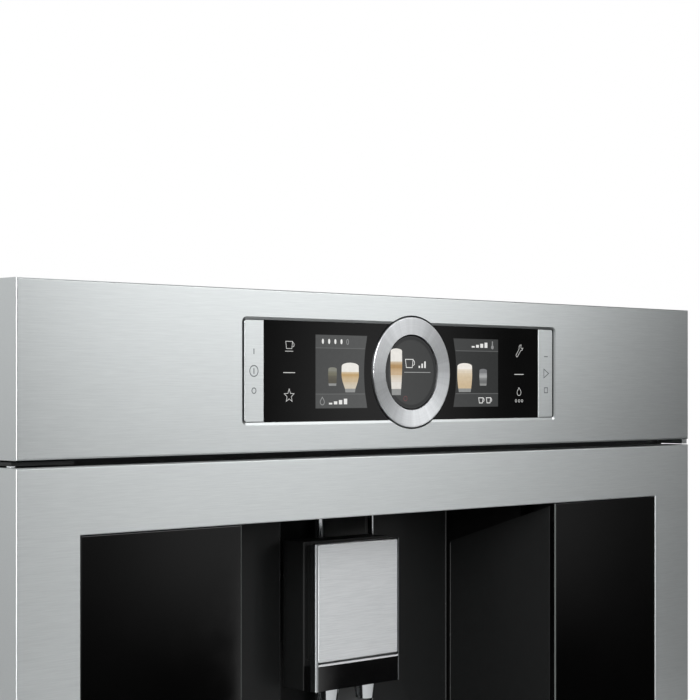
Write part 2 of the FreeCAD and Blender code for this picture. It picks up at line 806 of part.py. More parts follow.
def grinder_bracket():
    d = (grinder_d - grinder_r, grinder_d + grinder_r)
    inner_x = side_x - tank_w / 2 - 12
    shelf = block((inner_x, inner_half), d, (grinder_z - 4, grinder_z))
    leg = block((inner_x, inner_x + 3), (d[0] + 20, d[1]), (floor_z, grinder_z))
    wall = block((inner_half - 3, inner_half), d, (grinder_z - 26, grinder_z))
    return join(shelf, leg, wall).cut(post(8, side_x, grinder_d, (0, front_top)))


def grinder_motor():
    body = post(grind_motor_r, side_x, grinder_d, (grinder_z - 4 - grind_motor_h, grinder_z - 4))
    return body.cut(post(shaft_r + run, side_x, grinder_d, (grinder_z - 52, grinder_z)))


def brew_frame():
    d = (brew_d, brew_d + brew_depth)
    outer = brew_half + 6
    walls = [block(x, d, (floor_z, brew_top + 8)) for x in ((-outer, -brew_half), (brew_half, outer))]
    plates = [block((3 - outer, outer - 3), d, (z, z + 8)) for z in (brew_z, brew_top)]
    guide = post(spindle_r, -spindle_x, brew_mid, (brew_z + 4, brew_top + 4))
    cuts = [post(chamber_r, 0, brew_mid, (0, brew_z + 9)),
            post(spindle_r + run, spindle_x, brew_mid, (brew_z + 3, front_top))]
    return join(*walls, *plates, guide).cut(cuts)


def brew_cylinder():
    return post(chamber_r + 7, 0, brew_mid, (brew_z + 8, brew_z + 8 + chamber_h)).cut(
        post(chamber_r + run, 0, brew_mid, (0, front_top)))


def brew_piston():
    z = brew_z + piston_rise
    head = post(chamber_r, 0, brew_mid, (z, z + piston_h))
    cross_z = z + piston_h + piston_rod_h
    stem = post(spindle_r + 1, 0, brew_mid, (z + piston_h - 1, cross_z + 1))
    cross = block((-spindle_x - 9, spindle_x + 9), (brew_mid - cross_depth / 2, brew_mid + cross_depth / 2),
                  (cross_z, cross_z + cross_h))
    bores = [post(spindle_r + run, x, brew_mid, (0, front_top)) for x in (-spindle_x, spindle_x)]
    return join(head, stem, cross).cut(bores)


def brew_spindle():
    return post(spindle_r, spindle_x, brew_mid, (brew_z + 3.2, brew_top + 28))


def brew_motor():
    body = post(brew_motor_r, spindle_x, brew_mid, (brew_top + 8, brew_top + 8 + brew_motor_h))
    return body.cut(post(spindle_r + run, spindle_x, brew_mid, (0, brew_top + 30)))


def water_pump():
    d, z = store_d + tank_depth + 52, floor_z + 54
    mid = -side_x
    end = pump_w / 2
    body = bar(pump_r, d, z, (mid - end, mid + end))
    ports = [bar(5, d, z, (mid - end - 14, mid - end + 1)), bar(5, d, z, (mid + end - 1, mid + end + 14))]
    legs = [block((mid + dx, mid + dx + 10), (d - 18, d + 18), (floor_z, z)) for dx in (8 - end, end - 18)]
    return join(body, *ports, *legs)


def thermoblock():
    x = (brew_half + 6 + thermo_gap, brew_half + 6 + thermo_gap + thermo_w)
    d = (back_d - thermo_back - thermo_depth, back_d - thermo_back)
    z = (floor_z + 24, floor_z + 24 + thermo_h)
    grooves = [x[0] + 8 + i * 12 for i in range(5)]
    fins = [block((gx, gx + 5), (d[0] - 1, d[0] + 12), (z[0] + 8, z[1] - 8)) for gx in grooves]
    spots = [(px, pd) for px in (x[0] + 8, x[1] - 8) for pd in (d[0] + 20, d[1] - 8)]
    legs = [post(4, px, pd, (floor_z, z[0] + 1)) for px, pd in spots]
    ports = [post(4, x[0] + 35, pd, (z[1] - 1, z[1] + 14)) for pd in (d[0] + 25, d[1] - 15)]
    return join(block(x, d, z).cut(fins), *legs, *ports)


def power_board():
    d = (board_back - 1.6, board_back)
    parts = [block((board_x, board_x + board_w), d, (board_z, board_z + board_h)),
             block((board_x + 10, board_x + 60), (d[0] - 40, d[0] + 0.5), (board_z + 20, board_z + 80))]
    parts += [block((board_x + dx, board_x + dx + 16), (d[0] - 16, d[0] + 0.5),
                    (board_z + 150, board_z + 178)) for dx in (20, 44, 68)]
    parts += [rod(9, board_x + dx, board_z + 40, (d[0] - 30, d[0] + 0.5)) for dx in (100, 130)]
    return join(*parts)


def power_inlet():
    x, z = (inlet_x, inlet_x + inlet_w), (inlet_z, inlet_z + inlet_h)
    body = block(x, (back_d - 24, body_back), z)
    rim = rounded(block((x[0] - 4, x[1] + 4), (body_back, rear_d), (z[0] - 4, z[1] + 4)), 2, deep)
    socket = rounded(block((x[0] + 4, x[1] - 4), (back_d - 16, rear_d + 1), (z[0] + 4, z[1] - 4)), 2, deep)
    pins = [block((x[0] + dx - 1, x[0] + dx + 1), (back_d - 17, back_d - 4), (z[0] + dz - 2, z[0] + dz + 2))
            for dx, dz in ((8, 9), (15, 13), (22, 9))]
    return join(join(body, rim).cut(socket), *pins)


nodes = {
    "panel_fascia": panel_fascia(),
    "panel_housing": panel_housing(),
    "panel_glass": panel_glass(),
    "side_displays": side_displays(),
    "centre_display": centre_display(),
    "control_board": control_board(),
    "control_ring": control_ring(),
    "power_button": push_button(-1),
    "start_button": push_button(1),
    "door_frame": door_frame(),
    "door_inner_frame": door_inner_frame(),
    "door_back_cover": door_back_cover(),
    "left_door_glass": mirrored(door_glass()),
    "right_door_glass": door_glass(),
    "door_magnets": door_magnets(),
    "hinge_brackets": hinge_brackets(),
    "hinge_pins": hinge_pins(),
    "base_pan": base_pan(),
    "feet": feet(),
    "left_side_panel": mirrored(side_panel()),
    "right_side_panel": side_panel(),
    "rear_panel": rear_panel(),
    "cover_screws": cover_screws(),
    "top_cover": top_cover(),
    "front_bulkhead": front_bulkhead(),
    "niche_cheeks": pair(niche_cheek()),
    "niche_liner": niche_liner(),
    "niche_back_panels": pair(niche_back_panel()),
    "shaft_liner": shaft_liner(),
    "guide_rods": guide_rods(),
    "niche_light": niche_light(),
    "dispenser_housing": dispenser_housing(),
    "dispenser_plate": dispenser_plate(),
    "dispenser_chin": dispenser_chin(),
    "dispenser_trim": dispenser_trim(),
    "coffee_spouts": coffee_spouts(),
    "drip_tray": drip_tray(),
    "drip_float": drip_float(),
    "drip_grille": drip_grille(),
    "grounds_container": grounds_container(),
    "water_tank": water_tank(),
    "tank_lid": tank_lid(),
    "milk_container": milk_container(),
    "milk_lid": milk_lid(),
    "bean_container": bean_container(),
    "bean_lid": bean_lid(),
    "grinder_housing": grinder_housing(),
    "upper_burr": upper_burr(),
    "lower_burr": lower_burr(),
    "grinder_bracket": grinder_bracket(),
    "grinder_motor": grinder_motor(),
    "brew_frame": brew_frame(),
    "brew_cylinder": brew_cylinder(),
    "brew_piston": brew_piston(),
    "brew_spindle": brew_spindle(),
    "brew_motor": brew_motor(),
    "water_pump": water_pump(),
    "thermoblock": thermoblock(),
    "power_board": power_board(),
    "power_inlet": power_inlet(),
}

os.makedirs("parts", exist_ok=True)
for name, shape in nodes.items():
    shape.exportStep("parts/%s.step" % name)
    print(name, shape.isValid(), round(shape.Volume / 1000, 2))
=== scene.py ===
import math

import bpy
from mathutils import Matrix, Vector


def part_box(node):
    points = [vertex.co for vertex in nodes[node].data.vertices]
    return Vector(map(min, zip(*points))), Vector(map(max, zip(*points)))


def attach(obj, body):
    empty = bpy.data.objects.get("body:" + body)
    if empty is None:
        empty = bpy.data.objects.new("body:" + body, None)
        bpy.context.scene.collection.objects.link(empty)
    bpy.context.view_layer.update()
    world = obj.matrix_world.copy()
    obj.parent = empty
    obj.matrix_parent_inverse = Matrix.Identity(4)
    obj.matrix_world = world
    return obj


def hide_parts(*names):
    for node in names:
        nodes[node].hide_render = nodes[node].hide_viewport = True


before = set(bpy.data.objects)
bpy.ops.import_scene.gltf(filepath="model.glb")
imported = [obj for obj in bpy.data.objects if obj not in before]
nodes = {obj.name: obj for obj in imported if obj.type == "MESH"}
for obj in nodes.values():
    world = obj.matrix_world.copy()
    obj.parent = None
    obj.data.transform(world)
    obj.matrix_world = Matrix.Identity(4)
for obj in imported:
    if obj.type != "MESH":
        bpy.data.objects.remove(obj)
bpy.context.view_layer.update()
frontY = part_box("door_frame")[0][1]  # the front plane, in metres
ringLow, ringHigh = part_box("control_ring")
ringZ = (ringLow[2] + ringHigh[2]) / 2 * 1000  # height of the ring's axis, in mm
drawnOn = ("panel_glass", "centre_display", "power_button")
faceOf = {name: (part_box(name)[0][1] - frontY) * 1000 for name in drawnOn}  # mm behind the front plane
print("frame loaded:", len(nodes), "nodes")


def linear(hexColor):
    parts = [int(hexColor[i:i + 2], 16) / 255 for i in (1, 3, 5)]
    return tuple(c / 12.92 if c <= 0.04045 else ((c + 0.055) / 1.055) ** 2.4 for c in parts) + (1.0,)


def addNode(tree, kind, settings=None, inputs=None):
    node = tree.nodes.new(kind)
    for key, value in (settings or {}).items():
        setattr(node, key, value)
    for key, value in (inputs or {}).items():
        if isinstance(value, bpy.types.NodeSocket):
            tree.links.new(value, node.inputs[key])
        else:
            node.inputs[key].default_value = value
    return node


def newLook(name, sockets):
    look = bpy.data.materials.new(name)
    look.use_nodes = True
    tree = look.node_tree
    tree.nodes.clear()
    shader = addNode(tree, "ShaderNodeBsdfPrincipled", None, sockets)
    addNode(tree, "ShaderNodeOutputMaterial", None, {"Surface": shader.outputs["BSDF"]})
    where = addNode(tree, "ShaderNodeTexCoord").outputs["Object"]
    return look, tree, shader, where


grainNoise = {"detail": 2.0, "break": 0.6, "span": (0.3, 0.7), "depth": 0.1}  # depth of the relief in mm


def grainTo(tree, shader, where, grain):
    # one noise pattern that drives colour, roughness and a little relief
    pitch = [1000 / size for size in grain["size"]]
    spot = addNode(tree, "ShaderNodeMapping", None, {"Vector": where, "Scale": pitch})
    noise = addNode(tree, "ShaderNodeTexNoise", None, {
        "Vector": spot.outputs["Vector"], "Scale": 1.0, "Detail": grain.get("detail", grainNoise["detail"]),
        "Roughness": grainNoise["break"]})
    tint = addNode(tree, "ShaderNodeMix", {"data_type": "RGBA"}, {
        0: noise.outputs["Fac"], 6: linear(grain["dark"]), 7: linear(grain["light"])})
    tree.links.new(tint.outputs[2], shader.inputs["Base Color"])
    rough = addNode(tree, "ShaderNodeMapRange", None, {
        "Value": noise.outputs["Fac"], "From Min": grainNoise["span"][0], "From Max": grainNoise["span"][1],
        "To Min": grain["rough"][0], "To Max": grain["rough"][1]})
    tree.links.new(rough.outputs["Result"], shader.inputs["Roughness"])
    if grain.get("relief"):
        bump = addNode(tree, "ShaderNodeBump", None, {
            "Height": noise.outputs["Fac"], "Strength": grain["relief"],
            "Distance": grainNoise["depth"] / 1000})
        tree.links.new(bump.outputs["Normal"], shader.inputs["Normal"])


def drawnRound(tree, shader, axis):
    # the highlight follows lines that run round this axis
    turn = addNode(tree, "ShaderNodeTangent", {"direction_type": "RADIAL", "axis": axis})
    tree.links.new(turn.outputs["Tangent"], shader.inputs["Tangent"])


def paintedLightBeyondEdge(tree, shader, where, grain):
    # painted light and shade: another tone on what lies further than the edge from the middle of the front,
    # standing in for how light falls there
    along = addNode(tree, "ShaderNodeSeparateXYZ", None, {"Vector": where})
    aside = addNode(tree, "ShaderNodeMath", {"operation": "ABSOLUTE"}, {0: along.outputs["X"]})
    beyond = addNode(tree, "ShaderNodeMath", {"operation": "GREATER_THAN"}, {
        0: aside.outputs["Value"], 1: grain["edge"] / 1000})
    inner = shader.inputs["Base Color"].links[0].from_socket
    tint = addNode(tree, "ShaderNodeMix", {"data_type": "RGBA"}, {
        0: beyond.outputs["Value"], 6: inner, 7: linear(grain["outer"])})
    tree.links.new(tint.outputs[2], shader.inputs["Base Color"])


def dress(look, *names):
    for name in names:
        slots = nodes[name].data.materials
        slots.clear()
        slots.append(look)


# Stainless steel sheet, brushed along X: fine lines about 15 mm long and a highlight drawn out across them.
# The lines are about 0.15 mm wide on the real sheet and are drawn 0.5 mm wide here so that they show.
# The door and the spout cover are from duller, paler sheets than the panel.
brushedMetal = {"Metallic": 1.0, "Anisotropic": 0.72, "Anisotropic Rotation": 0.25}
brushedSteel = {"size": (15, 0.5, 0.5), "relief": 0.009, "detail": 3.0}
sheets = {"brushedPanelSteel": {"rough": (0.3, 0.34), "dark": "#BABEBF", "light": "#D1D5D5"},
          "brushedDoorSteel": {"rough": (0.36, 0.4), "dark": "#C4C8C9", "light": "#DBDFDF"},
          "brushedCoverSteel": {"rough": (0.44, 0.5), "dark": "#C6C9CB", "light": "#EFF1F2"}}
sheetNodes = {"brushedPanelSteel": ("panel_fascia", "power_button", "start_button"),
              "brushedDoorSteel": ("door_frame", "drip_grille"),
              "brushedCoverSteel": ("dispenser_plate",)}
for sheet, grain in sheets.items():
    steel, tree, shader, where = newLook(sheet, brushedMetal)
    grainTo(tree, shader, where, {**brushedSteel, **grain})
    drawnRound(tree, shader, "Z")
    dress(steel, *sheetNodes[sheet])

# Turned aluminium: fine grooves round the axis, so that light shows as fans; the tone is also made paler and
# darker in fans round the axis, a painted highlight. Groove pitch drawn 0.7 mm.
turnedRing = {"pitch": 0.7, "dark": "#C4C7C9", "light": "#DADCDE", "rough": (0.3, 0.38), "span": (0.3, 0.7),
              "fans": 7.0, "fanDetail": 4.0, "fanBreak": 0.7, "fanSpan": (0.35, 0.65),
              "paintedFanGain": (0.93, 1.07)}
ringMetal, tree, shader, where = newLook("turnedAluminium", {**brushedMetal, "Anisotropic": 0.7})
centred = addNode(tree, "ShaderNodeMapping", None, {"Vector": where, "Location": (0, 0, -ringZ / 1000)})
flat = addNode(tree, "ShaderNodeVectorMath", {"operation": "MULTIPLY"}, {
    0: centred.outputs["Vector"], 1: (1, 0, 1)})
reach = addNode(tree, "ShaderNodeVectorMath", {"operation": "LENGTH"}, {0: flat.outputs["Vector"]})
grooves = addNode(tree, "ShaderNodeTexNoise", {"noise_dimensions": "1D"}, {
    "W": reach.outputs["Value"], "Scale": 1000 / turnedRing["pitch"], "Detail": 2.0})
tint = addNode(tree, "ShaderNodeMix", {"data_type": "RGBA"}, {
    0: grooves.outputs["Fac"], 6: linear(turnedRing["dark"]), 7: linear(turnedRing["light"])})
spoke = addNode(tree, "ShaderNodeVectorMath", {"operation": "NORMALIZE"}, {0: flat.outputs["Vector"]})
# painted highlight: a noise by turn round the axis scales the tone up and down by about 7 %, in fans
fans = addNode(tree, "ShaderNodeTexNoise", None, {
    "Vector": spoke.outputs["Vector"], "Scale": turnedRing["fans"], "Detail": turnedRing["fanDetail"],
    "Roughness": turnedRing["fanBreak"]})
gain = addNode(tree, "ShaderNodeMapRange", None, {
    "Value": fans.outputs["Fac"], "From Min": turnedRing["fanSpan"][0], "From Max": turnedRing["fanSpan"][1],
    "To Min": turnedRing["paintedFanGain"][0], "To Max": turnedRing["paintedFanGain"][1]})
paintedFanTone = addNode(tree, "ShaderNodeVectorMath", {"operation": "SCALE"}, {
    0: tint.outputs[2], "Scale": gain.outputs["Result"]})
tree.links.new(paintedFanTone.outputs["Vector"], shader.inputs["Base Color"])
rough = addNode(tree, "ShaderNodeMapRange", None, {
    "Value": grooves.outputs["Fac"], "From Min": turnedRing["span"][0], "From Max": turnedRing["span"][1],
    "To Min": turnedRing["rough"][0], "To Max": turnedRing["rough"][1]})
tree.links.new(rough.outputs["Result"], shader.inputs["Roughness"])
drawnRound(tree, shader, "Y")
dress(ringMetal, "control_ring")

# Polished chrome plate: a near mirror, with faint cleaning marks about 2 mm wide.
chrome, tree, shader, where = newLook("polishedChrome", {"Metallic": 1.0})
grainTo(tree, shader, where, {
    "size": (2, 2, 12), "dark": "#D2D4D6", "light": "#E2E4E5", "rough": (0.07, 0.13)})
dress(chrome, "hinge_pins")

# Drawn stainless tube of the spouts and rods: satin, with drawing marks along it about 0.6 mm wide.
satinSteel, tree, shader, where = newLook("satinDrawnSteel", {"Metallic": 1.0})
grainTo(tree, shader, where, {
    "size": (0.6, 0.6, 14), "dark": "#BFC2C4", "light": "#D3D6D8", "rough": (0.1, 0.16)})
dress(satinSteel, "coffee_spouts", "guide_rods")

# Frame round the spout plate, one brushed steel: the uprights are painted darker as painted shade, and the
# strip under the plate keeps the bright tone.
trimGrainAndPaintedShade = {"size": (14, 0.6, 0.6), "dark": "#E4E6E8", "light": "#F2F3F4", "rough": (0.36, 0.42),
             "outer": "#A0A3A5", "edge": 36.2}
frameSteel, tree, shader, where = newLook("satinFrameSteel", brushedMetal)
grainTo(tree, shader, where, trimGrainAndPaintedShade)
drawnRound(tree, shader, "Z")
paintedLightBeyondEdge(tree, shader, where, trimGrainAndPaintedShade)
dress(frameSteel, "dispenser_trim")

# Float glass, black on its back: smooth, with a faint film of handling about 30 mm across.
# The panel's glass has a coating that mirrors less.
glassGrain = {"size": (30, 30, 30), "dark": "#020202", "light": "#040404", "rough": (0.02, 0.06)}
glasses = {"blackBackedGlass": (0.5, ("left_door_glass", "right_door_glass")),
           "coatedBlackGlass": (0.22, ("panel_glass",))}
for glass, (mirror, glassNodes) in glasses.items():
    blackGlass, tree, shader, where = newLook(glass, {"IOR": 1.5, "Specular IOR Level": mirror})
    grainTo(tree, shader, where, glassGrain)
    dress(blackGlass, *glassNodes)

# Ground edge of the panes: bright grey frosted glass, grit marks about 0.5 mm.
groundGlass, tree, shader, where = newLook("groundGlassEdge", {"IOR": 1.5})
grainTo(tree, shader, where, {
    "size": (0.5, 0.5, 0.5), "dark": "#4A4E4C", "light": "#5C605E", "rough": (0.4, 0.55)})

# Polycarbonate window over a display, smoke grey: smooth, with a faint cloud about 12 mm across.
smokeLens, tree, shader, where = newLook("smokePolycarbonate", {"IOR": 1.58, "Specular IOR Level": 0.4})
grainTo(tree, shader, where, {
    "size": (12, 12, 12), "dark": "#2A2B2C", "light": "#303132", "rough": (0.05, 0.1)})
dress(smokeLens, "centre_display", "side_displays")

# Moulded ABS, black, with a spark-eroded grain of about 0.4 mm.
blackAbs, tree, shader, where = newLook("grainedBlackAbs", {"IOR": 1.53, "Specular IOR Level": 0.35})
grainTo(tree, shader, where, {
    "size": (0.4, 0.4, 0.4), "dark": "#131414", "light": "#1C1D1D", "rough": (0.42, 0.58), "relief": 0.25})
dress(blackAbs, "panel_housing", "door_inner_frame", "door_back_cover", "front_bulkhead",
      "dispenser_housing", "drip_tray", "grounds_container", "tank_lid", "milk_lid", "bean_lid",
      "grinder_housing", "brew_frame", "brew_piston", "power_inlet")

# The same plastic from a polished mould: deep black with a clear highlight.
glossAbs, tree, shader, where = newLook("polishedBlackAbs", {"IOR": 1.53, "Specular IOR Level": 0.35})
grainTo(tree, shader, where, {
    "size": (15, 15, 15), "dark": "#060606", "light": "#0A0A0B", "rough": (0.02, 0.05)})
dress(glossAbs, "dispenser_chin")

# Satin painted plastic walls of the niche: soft sheen, orange peel about 1.5 mm.
# The splayed cheeks get a darker copy of the same paint as painted shade, and the liner behind them is
# painted near black as painted shade and is nearly matt.
nichePaint = {"size": (1.5, 1.5, 1.5), "rough": (0.34, 0.44), "relief": 0.08}
nicheToneAndPaintedShade = {"satinGreyPlastic": ("#161717", "#1C1D1D", 0.3, ("niche_back_panels",)),
              "satinPlasticPaintedShade": ("#0B0C0C", "#101111", 0.2, ("niche_cheeks",)),
              "mattPlasticPaintedShade": ("#050505", "#090909", 0.1, ("niche_liner",))}
for name, (dark, light, sheen, painted) in nicheToneAndPaintedShade.items():
    satin, tree, shader, where = newLook(name, {"IOR": 1.5, "Specular IOR Level": sheen})
    grainTo(tree, shader, where, {**nichePaint, "dark": dark, "light": light})
    dress(satin, *painted)

# The same paint in the shaft behind the spouts, painted darker than in the niche as painted shade; the side
# walls are painted much paler than the back, a painted highlight for the light they catch.
shaftPaintWithPaintedLight = {**nichePaint, "dark": "#101111", "light": "#161717", "outer": "#969797", "edge": 40.5}
shaftGrey, tree, shader, where = newLook("satinShaftPlastic", {"IOR": 1.5, "Specular IOR Level": 0.3})
grainTo(tree, shader, where, shaftPaintWithPaintedLight)
paintedLightBeyondEdge(tree, shader, where, shaftPaintWithPaintedLight)
dress(shaftGrey, "shaft_liner")

# Polished edge of the same plastic, painted a little paler than the walls as a painted highlight along the
# edge; the tone varies over about 3 mm.
lipPaintedHighlight, tree, shader, where = newLook("polishedEdgePlastic", {"IOR": 1.5})
grainTo(tree, shader, where, {"size": (3, 3, 3), "dark": "#2A2B2B", "light": "#343535", "rough": (0.2, 0.28)})

# Red polypropylene: waxy, slightly cloudy over a few millimetres.
redFloat, tree, shader, where = newLook("redPolypropylene", {"IOR": 1.49})
grainTo(tree, shader, where, {
    "size": (4, 4, 4), "dark": "#B3261E", "light": "#C8382E", "rough": (0.35, 0.45)})
dress(redFloat, "drip_float")

# Frosted acrylic cover of the niche lamp: a fine frost of about 0.6 mm that blurs the highlight.
frostedLens, tree, shader, where = newLook("frostedAcrylic", {"IOR": 1.49})
grainTo(tree, shader, where, {
    "size": (0.6, 0.6, 0.6), "dark": "#D5D8D6", "light": "#E6E8E5", "rough": (0.45, 0.6), "relief": 0.1})
dress(frostedLens, "niche_light")

# Tinted clear copolyester of the tank and the bean container: its tone changes slowly, over about 40 mm.
clearPlastic, tree, shader, where = newLook("tintedCopolyester", {"IOR": 1.54, "Transmission Weight": 0.85})
grainTo(tree, shader, where, {
    "size": (40, 40, 40), "dark": "#8E979B", "light": "#A3ABAE", "rough": (0.06, 0.14)})
dress(clearPlastic, "water_tank", "bean_container")

# Milky white polypropylene: waxy, cloudy over about 8 mm.
whitePlastic, tree, shader, where = newLook("whitePolypropylene", {"IOR": 1.49, "Specular IOR Level": 0.4})
grainTo(tree, shader, where, {"size": (8, 8, 8), "dark": "#DADAD5", "light": "#E6E5E0", "rough": (0.4, 0.5)})
dress(whitePlastic, "milk_container", "brew_cylinder")

# Ground tool steel: turning marks about 0.5 mm apart.
groundSteel, tree, shader, where = newLook("groundToolSteel", {"Metallic": 1.0})
grainTo(tree, shader, where, {
    "size": (5, 5, 0.5), "dark": "#8F9294", "light": "#B2B5B7", "rough": (0.2, 0.34)})
dress(groundSteel, "upper_burr", "lower_burr", "brew_spindle")

# Painted pressed steel cans of the motors and the pump: orange peel about 1.2 mm.
motorPaint, tree, shader, where = newLook("greyPaintedSteel", {"IOR": 1.5})
grainTo(tree, shader, where, {
    "size": (1.2, 1.2, 1.2), "dark": "#565A5D", "light": "#676B6E", "rough": (0.4, 0.52), "relief": 0.12})
dress(motorPaint, "grinder_motor", "brew_motor", "water_pump")

# Black passivated steel brackets: a dull sheen in patches about 6 mm across.
blackSteel, tree, shader, where = newLook("blackPassivatedSteel", {"Metallic": 0.6})
grainTo(tree, shader, where, {"size": (6, 6, 6), "dark": "#1D1E1F", "light": "#2C2D2E", "rough": (0.36, 0.5)})
dress(blackSteel, "hinge_brackets")

# Hot-dip galvanised sheet, skin-passed: faint flat crystals about 8 mm across, each with its own tone.
galvanised = {"crystal": 8, "dark": "#AEB3B5", "light": "#BABEC0", "rough": (0.38, 0.46)}
zincSheet, tree, shader, where = newLook("galvanisedSheet", {"Metallic": 1.0})
crystals = addNode(tree, "ShaderNodeTexVoronoi", None, {
    "Vector": where, "Scale": 1000 / galvanised["crystal"]})
tone = addNode(tree, "ShaderNodeSeparateColor", None, {"Color": crystals.outputs["Color"]})
tint = addNode(tree, "ShaderNodeMix", {"data_type": "RGBA"}, {
    0: tone.outputs[0], 6: linear(galvanised["dark"]), 7: linear(galvanised["light"])})
tree.links.new(tint.outputs[2], shader.inputs["Base Color"])
rough = addNode(tree, "ShaderNodeMapRange", None, {
    "Value": tone.outputs[1], "To Min": galvanised["rough"][0], "To Max": galvanised["rough"][1]})
tree.links.new(rough.outputs["Result"], shader.inputs["Roughness"])
dress(zincSheet, "grinder_bracket", "door_magnets", "base_pan", "left_side_panel", "right_side_panel",
      "rear_panel", "top_cover")

# Die-cast aluminium: dull skin with a sandy relief of about 0.8 mm.
castAluminium, tree, shader, where = newLook("castAluminium", {"Metallic": 1.0})
grainTo(tree, shader, where, {
    "size": (0.8, 0.8, 0.8), "dark": "#A2A4A6", "light": "#BABCBE", "rough": (0.42, 0.56), "relief": 0.3})
dress(castAluminium, "thermoblock")

# Glass-epoxy board under green solder resist, with copper areas about 6 mm wide showing through.
boardGreen, tree, shader, where = newLook("greenSolderResist", {"IOR": 1.55})
grainTo(tree, shader, where, {
    "size": (6, 6, 2), "dark": "#174A26", "light": "#2C7A41", "rough": (0.25, 0.4), "detail": 0.0})
dress(boardGreen, "power_board", "control_board")

# Black rubber feet: matt, with bloom about 5 mm across.
rubber, tree, shader, where = newLook("blackRubber", {"IOR": 1.52, "Specular IOR Level": 0.25})
grainTo(tree, shader, where, {"size": (5, 5, 5), "dark": "#1B1B1B", "light": "#262626", "rough": (0.65, 0.8)})
dress(rubber, "feet")
print("materials on the solids")

# Lit liquid-crystal screen: an even glow that varies a little over 2.5 mm.
# Its colours are stored on the mesh.
litScreen = {"cloud": 2.5, "gain": (0.9, 1.1), "off": "#0B0C0C"}
screenLight, tree, shader, where = newLook("litScreen", {
    "Base Color": linear(litScreen["off"]), "Roughness": 0.06, "Specular IOR Level": 0.4,
    "Emission Strength": 1.0})
tint = addNode(tree, "ShaderNodeVertexColor", {"layer_name": "tint"})
clouds = addNode(tree, "ShaderNodeTexNoise", None, {
    "Vector": where, "Scale": 1000 / litScreen["cloud"], "Detail": 1.0})
gain = addNode(tree, "ShaderNodeMapRange", None, {
    "Value": clouds.outputs["Fac"], "To Min": litScreen["gain"][0], "To Max": litScreen["gain"][1]})
glow = addNode(tree, "ShaderNodeVectorMath", {"operation": "SCALE"}, {
    0: tint.outputs["Color"], "Scale": gain.outputs["Result"]})
tree.links.new(glow.outputs["Vector"], shader.inputs["Emission Color"])

# Pad-printed grey ink: matt, uneven over about 1 mm.
printInk, tree, shader, where = newLook("greyPrintInk", {"IOR": 1.5})
grainTo(tree, shader, where, {"size": (1, 1, 1), "dark": "#5B6063", "light": "#6C7174", "rough": (0.5, 0.6)})


def rect(x0, x1, z0, z1):
    return [(x0, z0), (x1, z0), (x1, z1), (x0, z1)]


def patch(x, z, halfX, halfZ):
    return rect(x - halfX, x + halfX, z - halfZ, z + halfZ)


def arc(x, z, r, start, end, steps):
    turns = [math.radians(start + (end - start) * i / steps) for i in range(steps + 1)]
    return [(x + r * math.cos(a), z + r * math.sin(a)) for a in turns]


def circle(x, z, r, count):
    return arc(x, z, r, 0, 360 - 360 / count, count - 1)


sharpest = 0.35  # a mitre is cut off where the corner's cosine falls below this


def line(points, width, closed=False):
    # a drawn line as a row of four-sided cells with mitred corners
    count = len(points)
    rims = []
    for i, (x, z) in enumerate(points):
        before = points[i - 1] if closed or i > 0 else None
        after = points[(i + 1) % count] if closed or i < count - 1 else None
        ways = []
        for a, b in ((before, (x, z)), ((x, z), after)):
            if a and b:
                ways.append(Vector((b[0] - a[0], b[1] - a[1])).normalized())
        way = sum(ways, Vector((0, 0))).normalized()
        side = Vector((-way.y, way.x))
        stretch = 1 / max(sharpest, side.dot(Vector((-ways[0].y, ways[0].x))))
        offset = side * (width / 2 * stretch)
        rims.append(((x + offset.x, z + offset.y), (x - offset.x, z - offset.y)))
    if closed:
        rims.append(rims[0])
    return [[a[1], b[1], b[0], a[0]] for a, b in zip(rims, rims[1:])]


def plate(name, cells, depth, thickness, look, body):
    # cells: (outline in mm on the front, colour). Flat closed plates that stand off the face behind them.
    points, faces, tints = [], [], []
    for outline, color in cells:
        area = sum(a[0] * b[1] - b[0] * a[1] for a, b in zip(outline, outline[1:] + outline[:1]))
        loop = outline if area > 0 else outline[::-1]
        first, count = len(points), len(loop)
        for d in (depth - thickness, depth):
            points += [(x / 1000, frontY + d / 1000, (ringZ + z) / 1000) for x, z in loop]
        front = list(range(first, first + count))
        back = [i + count for i in front]
        sides = [[front[i], back[i], back[(i + 1) % count], front[(i + 1) % count]] for i in range(count)]
        for face in [front, back[::-1]] + sides:
            faces.append(face)
            tints += [linear(color)] * len(face)
    mesh = bpy.data.meshes.new(name)
    mesh.from_pydata(points, [], faces)
    mesh.color_attributes.new("tint", "FLOAT_COLOR", "CORNER")
    for spot, tone in zip(mesh.color_attributes["tint"].data, tints):
        spot.color = tone
    mesh.materials.append(look)
    piece = bpy.data.objects.new(name, mesh)
    bpy.context.scene.collection.objects.link(piece)
    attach(piece, body)


def colored(cells, color):
    return [(cell, color) for cell in cells]


def mixed(first, second, share):
    pairs = [(int(first[i:i + 2], 16), int(second[i:i + 2], 16)) for i in (1, 3, 5)]
    return "#" + "".join("%02X" % round(a + (b - a) * share) for a, b in pairs)


def shifted(outline, x, z, scale=1.0):
    return [(x + scale * px, z + scale * pz) for px, pz in outline]


